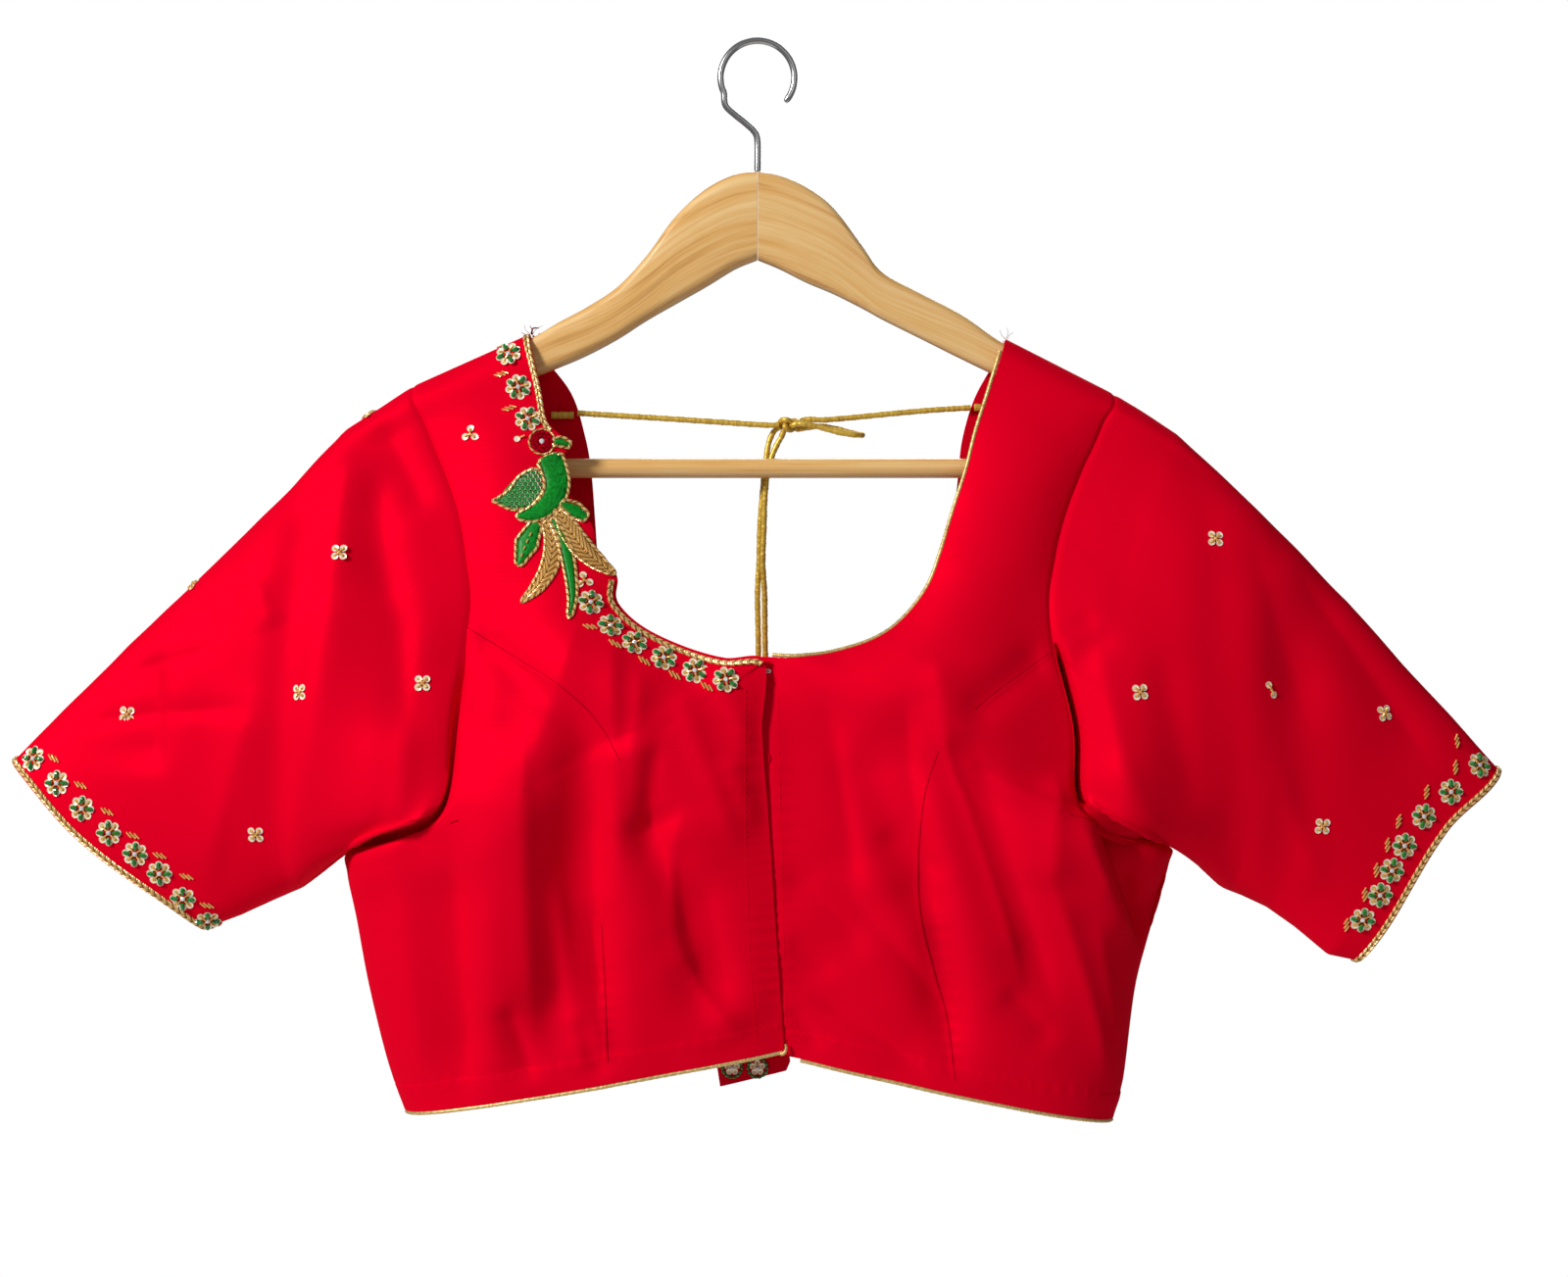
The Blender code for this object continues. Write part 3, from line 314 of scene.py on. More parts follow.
# Fine creases, columns xa za xb zb bow left right deep soft: the line from a to b
# and how far its middle bows aside, the widths of its two flanks, its depth (below
# nothing for a ridge) and 1 for a sharp bottom or crest up to 2 for a round one
# ("left" is the flank on the -X side of a line that runs downwards)
CREASES_FRONT_RIGHT = [
    # by the side and below the sleeve
    (-143, -388, -139, -505, 0, 20, 9, 4.6, 1.2),
    (-168, -405, -160, -500, 0, 10, 12, -1.6, 1.5),
    (-116, -462, -105, -498, 0, 11, 3, 2, 1.1),
    # the long fold that hangs from the armhole dart
    (-84, -282, -107, -352, 2, 13, 16, -1.8, 1.3),
    (-107.5, -342, -106, -470, -2, 26, 13, -4.2, 1.1),
    (-76, -362, -73, -470, -2, 17, 6, 3.2, 1.3),
    (-94, -402, -83, -488, 0, 6, 8, -2, 1.1),
    (-84, -470, -72, -497, 0, 8, 4, 1.4, 1.2),
    # beside the bust
    (-55, -306, -57, -376, 0, 7, 12, -2, 1.2),
    (-45, -335, -50, -396, -2, 11, 4, 1.5, 1.1),
    # the wave that turns towards the opening
    (-35, -371, -38.5, -440, -3, 12, 8, -3, 1.1),
    (-39, -432, -8, -476, -3, 11, 9, -2.8, 1.1),
    (-26, -400, -14, -462, 0, 8, 10, 1.6, 1.4),
    # from the neck to the opening
    (-36, -316, -10, -386, 0, 12, 8, -1.9, 1.2),
    (-20, -304, 0, -344, 0, 9, 9, -1.5, 1.2),
    (-14, -346, 2, -378, 0, 6, 8, -1.3, 1.2),
    (-68, -290, -64, -395, 0, 10, 6, -1.6, 1.5),
]
CREASES_FRONT_LEFT = [
    # from the neck to the dart
    (33, -322, 45, -410, 2, 22, 8, 2.6, 1.3),
    (70, -322, 80, -398, -2, 19, 7, 3, 1.3),
    (60, -380, 86, -402, 0, 6, 6, 1.2, 1.2),
    (76, -392, 92, -494, 2, 8, 14, 2.2, 1.1),
    # the long fold that hangs from the armhole
    (84, -300, 90, -342, 0, 8, 12, -1.4, 1.4),
    (85, -332, 124, -452, 2, 13, 12, -3.8, 1.1),
    (101, -340, 140, -462, 0, 15, 8, 2.2, 1.3),
    (104, -349, 137, -362, 0, 4, 5, 0.7, 1.3),
    # below the sleeve
    (140, -355, 138, -404, 0, 12, 15, -2.8, 1.1),
    (150, -374, 177, -432, 0, 10, 4, -2.4, 1.2),
    (138, -404, 167, -500, 2, 6, 8, -1.7, 1.1),
    (160, -424, 173, -482, 0, 5, 5, -1, 1.1),
    (118, -455, 140, -480, 0, 10, 6, 1.2, 1.4),
    # from the opening towards the hem
    (14, -400, 50, -438, 2, 9, 8, 1.4, 1.4),
    (38, -408, 93, -472, 3, 12, 8, 2.4, 1.4),
    (28, -460, 80, -496, 1, 6, 5, 1.6, 1.1),
    (15, -464, 30, -484, 0, 4, 4, 0.9, 1.2),
    (15, -432, 36, -448, 0, 5, 4, 0.8, 1.2),
]
CREASES_BACK_RIGHT = [
    (-70, -200, -96, -300, 4, 14, 18, 2, 1.5),
    (-108, -310, -104, -470, -3, 20, 12, -3.2, 1.2),
    (-76, -360, -72, -480, 2, 15, 8, 2.6, 1.3),
    (-142, -370, -138, -500, 0, 18, 10, 2.4, 1.3),
    (-40, -330, -30, -440, -4, 12, 9, -2.2, 1.2),
    (-120, -440, -108, -498, 0, 9, 4, 1.5, 1.2),
    (-16, -390, -4, -480, 2, 10, 8, 1.2, 1.5),
]
CREASES_BACK_LEFT = [
    (62, -190, 92, -296, -4, 16, 14, 1.8, 1.5),
    (92, -320, 118, -462, 3, 14, 13, -3.2, 1.2),
    (68, -350, 84, -480, 0, 14, 9, 2.4, 1.3),
    (136, -362, 150, -500, 0, 10, 14, -2, 1.2),
    (28, -380, 70, -470, 3, 12, 9, 1.8, 1.4),
    (110, -440, 128, -500, 0, 8, 6, 1.3, 1.2),
]
CREASES_SLEEVE_RIGHT = [
    # the corner of its fold over the front, and the turned-in cloth below it
    (-142, -372, -150, -398, 0, 16, 14, -3, 2),
    (-198, -200, -199, -262, 0, 13, 13, -2.6, 1.1),
    (-199, -252, -222, -410, 2, 20, 20, -3.4, 1.1),
    (-184, -212, -171, -280, -2, 14, 8, 2.6, 1.4),
    (-170, -275, -163, -335, 0, 18, 8, 2.2, 1.4),
    (-182, -186, -158, -228, 0, 12, 10, 1.4, 1.6),
    (-238, -318, -264, -404, 0, 15, 10, -1.8, 1.2),
    (-289, -298, -287, -352, 0, 22, 5, 2, 1.3),
    (-240, -262, -229, -284, 0, 5, 4, -0.9, 1.2),
    (-322, -330, -236, -324, 2, 4, 5, 0.7, 1.4),
    (-300, -304, -262, -296, 0, 3, 4, 0.6, 1.2),
]
CREASES_SLEEVE_LEFT = [
    (206, -215, 229, -400, 0, 22, 26, -2.2, 1.7),
    (236, -240, 262, -330, 0, 22, 12, 2, 1.6),
    (262, -262, 322, -348, 2, 16, 9, 2, 1.5),
    (192, -300, 206, -372, 0, 12, 8, 1.3, 1.5),
    (141, -304, 168, -288, 0, 5, 5, 1.4, 1.3),
    (141, -288, 160, -282, 0, 3, 4, 0.8, 1.2),
    (170, -345, 186, -388, 0, 8, 8, -1.2, 1.4),
    (246, -350, 270, -408, 0, 9, 8, -1, 1.4),
]
# Rows of small puckers along stitching, columns xa za xb zb gap wide high
GATHERS_FRONT_RIGHT = [
    (0, -378, 4.5, -404, 4.3, 7, 0.2),
    (3, -416, 8, -462, 6, 7.5, 0.34),
    (-7, -312, -5, -366, 8, 8, 0.36),
    (-72, -440, -69.5, -490, 6, 4, 0.25),
]
GATHERS_FRONT_LEFT = [
    (12, -330, 14.2, -482, 6.8, 3.5, 0.22),
    (84, -420, 94, -496, 7, 4, 0.22),
]
# Hem: where its stitching runs, how much the doubled cloth stands out, its puckers
HEM_TURN, HEM_RISE, HEM_GAP, HEM_WAVE = 13, 0.35, 6.3, 0.22
# How far the lapping front and the one below it move towards each other, by height
LAP_EASE = [(-490, 2.2), (-465, 2), (-445, 1.6), (-425, 1.3), (-405, 1.3), (-385, 1.7),
            (-365, 1.8), (-352, 2), (-345, 1.8), (-325, 1.4), (-300, 1.2)]
LAP_HALF, LAP_AT = 9, 19     # width of that easing, and its place on the lower front
SEAM_DIP = 0.6            # how deep the cloth dips at a seam
# Where the lapping edge draws back from the opening, columns z back
LAP_BACK = [(-390, 0), (-365, 0.8), (-350, 1.6), (-330, 2.6), (-312, 2), (-300, 1.4)]
# Rounds in which the form's depth is evened out, columns x z wide high reach
EVEN_FRONT_RIGHT = [(-132, -372, 46, 52, 13)]
# Gap between a sleeve and its front, columns z_high z_low wide deep, and how far
# it runs in under the sleeve
SLEEVE_GAP = {"right": (-288, -372, 2.2, 0, 0), "left": (-290, -374, 3, 15, 1)}
# Fold of each sleeve over its front, columns: height z, how far it laps over and
# how far it stands out
LIP = {"right": [(-386, 9, 7), (-378, 10, 6.5), (-370, 8, 4), (-355, 5, 1.6),
                 (-335, 3, 1.4), (-312, 1, 1), (-298, 0, 0)],
       "left": [(-386, 7.5, 7), (-378, 8, 7.5), (-370, 5, 6), (-364, 0, 0)]}
LIP_FADE = (7, 32)   # where that lap dies away up the sleeve
LIP_DEPTH = (0.5, 13)  # and how deep the front stands where it begins and is full
# Cloth that turns in behind the fold below the left sleeve: a crease whose depth is
# measured straight back, and how little of the front's own depth it leaves
RECESS = [(157, -366, 183, -434, 0, 2.2, 24, 19, 2)]
LEAST_DEPTH = 0.2


# ---------------------------------------------------------------- helpers
def smooth(a, b, x):
    t = np.clip((x - a) / (b - a), 0.0, 1.0)
    return t * t * (3.0 - 2.0 * t)


def unit(v):
    return v / np.linalg.norm(v, axis=-1)[..., None]


def spline(points, steps, ghost_end=None):
    """Catmull-Rom through rows of numbers; steps[i] pieces after row i."""
    p = np.asarray(points, float)
    first = 2 * p[0] - p[1]
    last = 2 * p[-1] - p[-2] if ghost_end is None else np.asarray(ghost_end, float)
    q = np.vstack([first, p, last])
    out = []
    for i in range(len(p) - 1):
        p0, p1, p2, p3 = q[i], q[i + 1], q[i + 2], q[i + 3]
        for k in range(steps[i]):
            t = k / steps[i]
            out.append(0.5 * (2 * p1 + (p2 - p0) * t
                              + (2 * p0 - 5 * p1 + 4 * p2 - p3) * t * t
                              + (3 * p1 - p0 - 3 * p2 + p3) * t ** 3))
    out.append(p[-1])
    return np.array(out)


def lengths(path):
    """Length along a path up to each of its points."""
    return np.concatenate([[0], np.cumsum(np.linalg.norm(np.diff(path, axis=0), axis=1))])


def at_lengths(want, run, rows):
    """Rows of numbers, given at the lengths `run`, at the wanted ones."""
    return np.stack([np.interp(want, run, rows[:, k]) for k in range(rows.shape[1])], axis=1)


def respaced(path, ups, gap):
    """A path and its directions a gap apart, and the length at each point."""
    run = lengths(path)
    want = np.arange(0, run[-1], gap)
    return at_lengths(want, run, path), at_lengths(want, run, ups), want


def grown(grid, axis):
    """Length along a grid's columns (axis 0) or rows (1) up to each point."""
    step = np.linalg.norm(np.diff(grid, axis=axis), axis=2).cumsum(axis=axis)
    return np.insert(step, 0, 0.0, axis=axis)


def line_sides(line):
    """Unit directions along and beside a line of x, z points."""
    run = unit(np.gradient(line, axis=0))
    return run, np.stack([-run[:, 1], run[:, 0]], axis=1)


def tangents(normal):
    """Two unit directions square to a normal, beside and above it."""
    side = unit(np.cross(normal, UP))
    return side, np.cross(side, normal)


def spokes(normal, count, turn=0.0):
    """Even steps round a normal: number, direction outwards, direction onwards."""
    side, up = tangents(normal)
    for k in range(count):
        ang = turn + 2 * math.pi * k / count
        c, s = math.cos(ang), math.sin(ang)
        yield k, side * c + up * s, up * c - side * s


def all_round(normal, count, turn=0.0):
    """Unit directions all round a normal."""
    side, up = tangents(normal)
    ang = np.arange(count) * 2 * math.pi / count + turn
    return side * np.cos(ang)[:, None] - up * np.sin(ang)[:, None]


def along(points, gap):
    """Points about `gap` apart on a smooth line through the given ones."""
    p = np.asarray(points, float)
    steps = [max(1, int(round(np.linalg.norm(p[i + 1] - p[i]) / gap)))
             for i in range(len(p) - 1)]
    return spline(p, steps)


def even(points, gap):
    """Evenly spaced points about `gap` apart on a smooth line through others."""
    p = along(points, gap / 2)
    run = lengths(p)
    return at_lengths(np.linspace(0, run[-1], max(2, int(round(run[-1] / gap)) + 1)), run, p)


def line_place(x, z, xa, za, xb, zb):
    """Share of the way along a line, distance beside it, and its length."""
    dx, dz = xb - xa, zb - za
    length = math.hypot(dx, dz)
    t = ((x - xa) * dx + (z - za) * dz) / (length * length)
    return t, ((x - xa) * dz - (z - za) * dx) / length, length


def ends_fade(t, out, full):
    """1 along a line, dying away from `full` inside its ends to `out` past them."""
    return smooth(-out, full, t) * (1.0 - smooth(1.0 - full, 1.0 + out, t))


def fold_depth(x, z, folds):
    """Sum of the soft troughs and ridges at points x, z."""
    total = np.zeros_like(x)
    for *line, wide, deep in folds:
        t, off, _ = line_place(x, z, *line)
        total += deep * np.exp(-(off / wide) ** 2) * ends_fade(t, 0.18, 0.15)
    return total


def crease_depth(x, z, creases):
    """Sum of the fine creases, whose two flanks may differ."""
    total = np.zeros_like(x)
    for *line, bow, left, right, deep, soft in creases:
        t, off, _ = line_place(x, z, *line)
        off = -off - bow * 4 * np.clip(t, 0, 1) * (1 - np.clip(t, 0, 1))
        wide = np.where(off < 0, left, right)
        total += deep * np.exp(-np.hypot(off / wide, 0.05) ** soft) * ends_fade(t, 0.12, 0.22)
    return total


# ---------------------------------------------------------------- surfaces
def shares():
    """Shares of the way across a half panel, closer together by its two edges."""
    near = np.array([0.0, 0.002, 0.004, 0.007])
    return np.concatenate([near, np.linspace(0.011, 0.989, 80), 1.0 - near[::-1]])


ACROSS = shares()
NORMAL_ROUNDS = 6        # evens the normals out where rows lie close together
FOLD_IN, FOLD_OUT = (0.0, 0.10), (0.86, 1.0)  # shares where folds begin and end
TIP_FADE = 0.30                        # share over which the neckline's tips die away
CREASE_IN, CREASE_OUT = (0.0, 0.05), (0.965, 1.0)
CREASE_TOP = (15.0, 16.6)              # table rows over which creases die away
RIPPLE = 0.35                          # height of the slight unevenness
DIP_WIDE, LOW_DIP_WIDE = 1.3, 2.6      # widths of the dips at a seam
LOW_DIP = (290.0, 312.0)               # how far down the deeper dip begins and is full
SLEEVE_CALM, SLEEVE_BACK = (0.02, 0.10), 0.7  # where creases begin, how deep behind
GAP_ENDS = 14.0                        # over which the gap beside a sleeve dies away
ROOT_AT = int(np.argmin(np.abs(ACROSS - (COLS + 1 + ROOT_COLUMN) / COLS)))


def half_panel(table, lens, folds, sags, side, tips):
    """Grid of outer points [row, column], and the table row of each row."""
    rows = np.column_stack([table, lens]).astype(float)
    steps = [n * FINE for n in STEPS_UP]
    ghost = rows[-2].copy()
    for name in ("yi", "y1", "y2", "yo"):
        ghost[HALF_COLUMNS.index(name)] *= -1.0     # on over the shoulder
    rows_f = spline(rows, steps, ghost)
    marks = spline([[i] for i in range(len(table))], steps)[:, 0]
    hang = np.interp(marks, *zip(*sags))
    a = ACROSS
    grid = np.zeros((len(rows_f), len(a), 3))
    for i, (xi, yi, zi, y1, y2, xo, yo, zo, rnd) in enumerate(rows_f):
        rnd = min(max(rnd, 0.0), 1.0)
        across = (1 - rnd) * a + rnd * (1 - (1 - a) ** 1.2)
        turn = (1 - rnd) * across + rnd * np.arcsin(across) * 2 / math.pi
        cubic = np.polyfit((0.0, 1 / 3, 2 / 3, 1.0), (yi, y1, y2, yo), 3)
        grid[i, :, 0] = xi + (xo - xi) * across
        grid[i, :, 1] = np.polyval(cubic, turn)
        grid[i, :, 2] = zi + (zo - zi) * across - hang[i] * np.sin(across * math.pi)
    # a front's folds die away at its free centre edge
    inner = smooth(*FOLD_IN, a) if tips is not None else np.ones_like(a)
    lower = (marks <= NECK_ROW)[:, None]
    fade_in = np.where(lower, inner[None, :], 1.0)
    fade_out = 1.0 - smooth(*FOLD_OUT, a)[None, :]
    top = 1.0 - smooth(*FOLD_TOP, marks)[:, None]
    grid[:, :, 1] += (fold_depth(grid[:, :, 0], grid[:, :, 2], folds)
                      * fade_in * fade_out * top * side)
    for z, half, out in (tips or ()):
        near = np.exp(-((grid[:, 0, 2] - z) / half) ** 2) * (marks > TIP_ROW)
        grid[:, :, 0] += out * near[:, None] * (1.0 - smooth(0.0, TIP_FADE, a))[None, :]
    grid[-1, :, 1] = 0.0
    grid[marks <= NECK_ROW, -1, 1] = 0.0
    return grid, marks


def grid_normals(grid, outward):
    """Unit normals of an open grid, turned to the outward side."""
    area = np.cross(np.gradient(grid, axis=1), np.gradient(grid, axis=0))
    for _ in range(NORMAL_ROUNDS):
        held = np.concatenate([area[:1], area, area[-1:]])
        area = (held[:-2] + 2 * held[1:-1] + held[2:]) / 4
    return unit(area) * outward


def flat_y(n):
    n = n.copy()
    n[..., 1] = 0.0
    return unit(n)


def panel_normals(grid, marks, outward):
    n = grid_normals(grid, outward)
    n[-1] = flat_y(n[-1])
    for i in np.flatnonzero(marks <= NECK_ROW):
        up = UNDERARM_UP if marks[i] == NECK_ROW else 0.0
        n[i, -1] = (math.copysign(math.sqrt(1 - up * up), grid[i, -1, 0]), 0.0, up)
    return n


def panels():
    out = {}
    for key, table, lens, folds, sags, side, tips in (
            ("front_right", FRONT_RIGHT, LENS_FRONT, FOLDS_FRONT_RIGHT, SAG_FRONT, 1, NECK_TIPS),
            ("front_left", FRONT_LEFT, LENS_FRONT, FOLDS_FRONT_LEFT, SAG_FRONT, 1, ()),
            ("back_right", BACK_RIGHT, LENS_BACK, FOLDS_BACK_RIGHT, SAG_NONE, -1, None),
            ("back_left", BACK_LEFT, LENS_BACK, FOLDS_BACK_LEFT, SAG_NONE, -1, None)):
        grid, marks = half_panel(table, lens, folds, sags, side, tips)
        right = key.endswith("right")
        front = key.startswith("front")
        outward = -1.0 if right == front else 1.0
        out[key] = (grid, panel_normals(grid, marks, outward), marks, outward)
    return out


def gather_depth(x, z, rows):
    """Small puckers across rows of stitching."""
    total = np.zeros_like(x)
    for *line, gap, wide, high in rows:
        t, off, length = line_place(x, z, *line)
        run = t * length
        wave = np.sin(2 * math.pi * run / gap + 1.1 * np.sin(run * 0.21) + off * 0.12)
        total += high * wave * np.exp(-(off / wide) ** 2) * ends_fade(t, 0.05, 0.08)
    return total


def hem_depth(grid):
    """The doubled cloth of a hem with small puckers along its stitching."""
    up = grown(grid, 0)
    x = grid[:, :, 0]
    step = HEM_RISE * (1.0 - smooth(HEM_TURN - 0.9, HEM_TURN + 0.9, up))
    wave = HEM_WAVE * np.sin(2 * math.pi * x / HEM_GAP + 1.4 * np.sin(x * 0.11))
    return wave * np.exp(-((up - HEM_TURN) / 3.6) ** 2) - step


def finer(panel):
    """The same panel with a row more between any two."""
    grid, _, marks, outward = panel
    both = np.concatenate([2 * grid[:1] - grid[1:2], grid, 2 * grid[-1:] - grid[-2:-1]])
    middle = (9 * (both[1:-2] + both[2:-1]) - both[:-3] - both[3:]) / 16
    rows = np.empty((2 * len(grid) - 1,) + grid.shape[1:])
    rows[::2], rows[1::2] = grid, middle
    marks = np.interp(np.arange(len(rows)) / 2, np.arange(len(marks)), marks)
    return rows, panel_normals(rows, marks, outward), marks, outward


def evened(grid, rounds):
    """Panel points with their depth evened out inside the given rounds."""
    flat = grid.reshape(-1, 3)
    share = np.tile(np.gradient(ACROSS), len(grid))
    hold = np.tile(1.0 - smooth(0.93, 1.0, ACROSS), len(grid))
    fresh = flat.copy()
    for x, z, wide, high, reach in rounds:
        far = np.hypot((flat[:, 0] - x) / wide, (flat[:, 2] - z) / high)
        pool = flat[far < 1.5]
        sway = share[far < 1.5]
        for i in np.flatnonzero(far < 1.0):
            gap = np.hypot(pool[:, 0] - flat[i, 0], pool[:, 2] - flat[i, 2])
            near = sway * np.exp(-(gap / reach) ** 2)
            mean = (near * pool[:, 1]).sum() / near.sum()
            keep = (1.0 - smooth(0.55, 1.0, far[i])) * hold[i]
            fresh[i, 1] += (mean - flat[i, 1]) * keep
    return fresh.reshape(grid.shape)


def relief(panel, creases, gathers=(), lap=0.0, dip_low=0.0):
    """Panel points with fine creases, puckers, a hem and dipped seams."""
    grid, normals, marks, outward = panel
    x, z = grid[:, :, 0], grid[:, :, 2]
    lower = (marks <= NECK_ROW)[:, None]
    calm = np.where(lower, smooth(*CREASE_IN, ACROSS)[None, :], 1.0)
    folds = crease_depth(x, z, creases)
    if lap < 0:
        # below the lapping front this one follows its folds
        beyond = x - np.interp(z, *np.array(FRONT_RIGHT)[:NECK_ROW + 1, [2, 0]].T)
        folds = np.where(beyond > 0, folds, crease_depth(x, z, CREASES_FRONT_RIGHT))
        calm = np.where(z < -300.0, smooth(0.0, 9.0, np.abs(beyond)), 1.0)
    calm = calm * (1.0 - smooth(*CREASE_OUT, ACROSS))[None, :]
    calm = calm * (1.0 - smooth(*CREASE_TOP, marks))[:, None]
    depth = DRAPE * folds * calm + RIPPLE * ripple(x, z) * calm
    depth = depth + gather_depth(x, z, gathers) + hem_depth(grid)
    inward = grown(grid, 1)
    ease = np.interp(z, *zip(*LAP_EASE)) * lower / 2
    at = 0.0 if lap > 0 else LAP_AT
    depth = depth + lap * ease * np.exp(-((inward - at) / LAP_HALF) ** 2)
    width = inward[:, -1:] - inward
    low = smooth(*LOW_DIP, -z) * (marks >= NECK_ROW)[:, None]
    depth = depth + SEAM_DIP * np.exp(-(width / DIP_WIDE) ** 2)
    depth = depth + dip_low * low * np.exp(-(width / LOW_DIP_WIDE) ** 2)
    moved = grid - normals * depth[:, :, None]
    if lap < 0:
        rim = 1.0 - smooth(0.985, 1.0, ACROSS)[None, :]
        back = np.minimum(crease_depth(x, z, RECESS) * rim, -(1.0 - LEAST_DEPTH) * moved[:, :, 1])
        moved[:, :, 1] += np.maximum(back, 0.0)
    if lap > 0:
        back = np.interp(z, *zip(*LAP_BACK)) * lower
        moved[:, :, 0] -= back * np.exp(-inward / 10.0)
    return moved, panel_normals(moved, marks, outward), marks, outward


def ripple(x, z):
    """Slight unevenness of hanging cloth, about 1 high, the same on every run."""
    return (0.5 * np.sin(0.071 * x + 0.023 * z + 0.7) * np.sin(0.031 * z - 0.019 * x)
            + 0.3 * np.sin(0.113 * x - 0.047 * z + 2.1)
            + 0.2 * np.sin(0.19 * x + 0.11 * z + 4.0) * np.sin(0.083 * z + 1.3))


# ---------------------------------------------------------------- sleeves
def armhole(front, back):
    """Ring of armhole points from the shoulder tip down the front to the
    underarm and up the back, with the panel's normal and the direction in
    which the panel would go on at each."""
    (gf, nf, marks, _), (gb, nb, _, _) = front, back
    last = [i for i in range(len(marks)) if marks[i] >= NECK_ROW - 1e-9][::-1]
    ring, norm, below = [], [], []
    for part, (g, n) in enumerate(((gf, nf), (gb, nb))):
        for i in (last if part == 0 else last[1:-1][::-1]):
            ring.append(g[i, -1])
            norm.append(n[i, -1])
            under = abs(marks[i] - NECK_ROW) < 1e-9
            below.append(g[i - FINE, -1] if under else g[max(i - FINE, 0), ROOT_AT])
    ring, norm, below = map(np.array, (ring, norm, below))
    half = len(last) - 1
    for k in (0, half):
        ring[k][1] = below[k][1] = 0.0
        norm[k] = flat_y(norm[k])
    run = unit(np.roll(ring, -1, axis=0) - np.roll(ring, 1, axis=0))
    way = unit(np.cross(run, norm))
    way *= np.sign((way * (ring - below)).sum(axis=1))[:, None]
    return ring, norm, way, half


def sleeve_surface(table, hole, folds, bow, side, steps):
    """Outer points [section, around] of a sleeve and the first ring's normals.
    The first ring is the armhole, the later sections are flattened ellipses."""
    ring, norm, _, half = hole
    t = np.array(table, float)
    seg = np.linalg.norm(np.diff(np.vstack([ring, ring[:1]]), axis=0), axis=1)
    theta = np.zeros(len(ring))
    front_len, back_len = seg[:half].sum(), seg[half:].sum()
    theta[:half + 1] = np.concatenate([[0], np.cumsum(seg[:half])]) / front_len * math.pi
    theta[half:] = math.pi + np.concatenate([[0], np.cumsum(seg[half:-1])]) / back_len * math.pi

    def section(s):
        v = {c: np.interp(s, t[:, 0], t[:, k]) for k, c in enumerate(SLEEVE_COLUMNS)}
        top, bot = np.array([v["xt"], 0, v["zt"]]), np.array([v["xb"], 0, v["zb"]])
        c, si = np.cos(theta), np.sin(theta)
        pts = (top + bot) / 2 + np.outer(c, (top - bot) / 2)
        pts[:, 1] += np.where(si >= 0, -v["front"], v["back"]) * np.abs(si) ** SLEEVE_ROUND
        # the cuff's edge bows out along the arm, most at bow[1] of its height
        share = (1 - c) / 2
        peak = np.where(share < bow[1], share / bow[1], (1 - share) / (1 - bow[1]))
        arm = np.array([top[2] - bot[2], 0, bot[0] - top[0]]) * side
        arm /= np.linalg.norm(arm)
        grow = bow[0] * smooth(BOW_FROM, 1.0, s)
        pts += np.outer(np.sin(peak * math.pi / 2) ** 2, arm) * grow
        return pts

    base = section(0.0)
    down = theta / math.pi                      # 1 at the underarm
    low = np.where(down > 1, 2 - down, down)
    grow = np.exp(-((down - ROOT_FOLD_AT) / ROOT_FOLD_WIDE) ** 2) * (theta < math.pi)
    rise = np.where(theta <= math.pi + 0.01, ROOT_RISE[0], ROOT_RISE[1])
    leave = norm * (smooth(*RISE_DOWN, low) * rise)[:, None]

    def free(s):
        pts = section(s) + (ring - base) * (1.0 - smooth(0.0, RING_FADE, s))
        lift = smooth(*RISE_IN, s) * (1.0 - smooth(*RISE_OUT, s))
        pts += leave * lift
        pts[:, 0] -= side * ROOT_FOLD[0] * grow * lift
        pts[:, 1] -= ROOT_FOLD[1] * grow * lift
        wave = fold_depth(pts[:, 0], pts[:, 2], folds) * smooth(*SLEEVE_FOLD_IN, s)
        pts[:, 1] += wave * np.sin(theta)
        return pts

    # the cloth leaves the seam straight towards its section at ROOT_END
    goal = free(ROOT_END)
    return np.array([ring + (goal - ring) * (s / ROOT_END) if s < ROOT_END else free(s)
                     for s in steps])


def ring_normals(grid):
    du = np.roll(grid, -1, axis=1) - np.roll(grid, 1, axis=1)
    dv = np.gradient(grid, axis=0)
    n = unit(np.cross(du, dv))
    centre = grid.mean(axis=1, keepdims=True)
    if ((grid - centre) * n).sum() < 0:
        n = -n
    return n


# ---------------------------------------------------------------- meshes
ROPE_SIDES, ROD_SIDES, GEM_SIDES, DISC_SIDES = 5, 6, 8, 10
DISC_THICK, DISC_CUP = 0.16, 0.25      # of a sequin
# Rings of a crystal, radius and height, and its top, as shares of its radius
GEM_RINGS, GEM_TOP = ((1.0, 0.0), (1.0, 0.35), (0.55, 0.75)), 0.78
# Radius of a bugle bead along its length; waves and ends of coiled wire
BUGLE, COIL_WAVE, COIL_END = (0.55, 0.95, 1.0, 0.95, 0.55), 0.16, 0.55


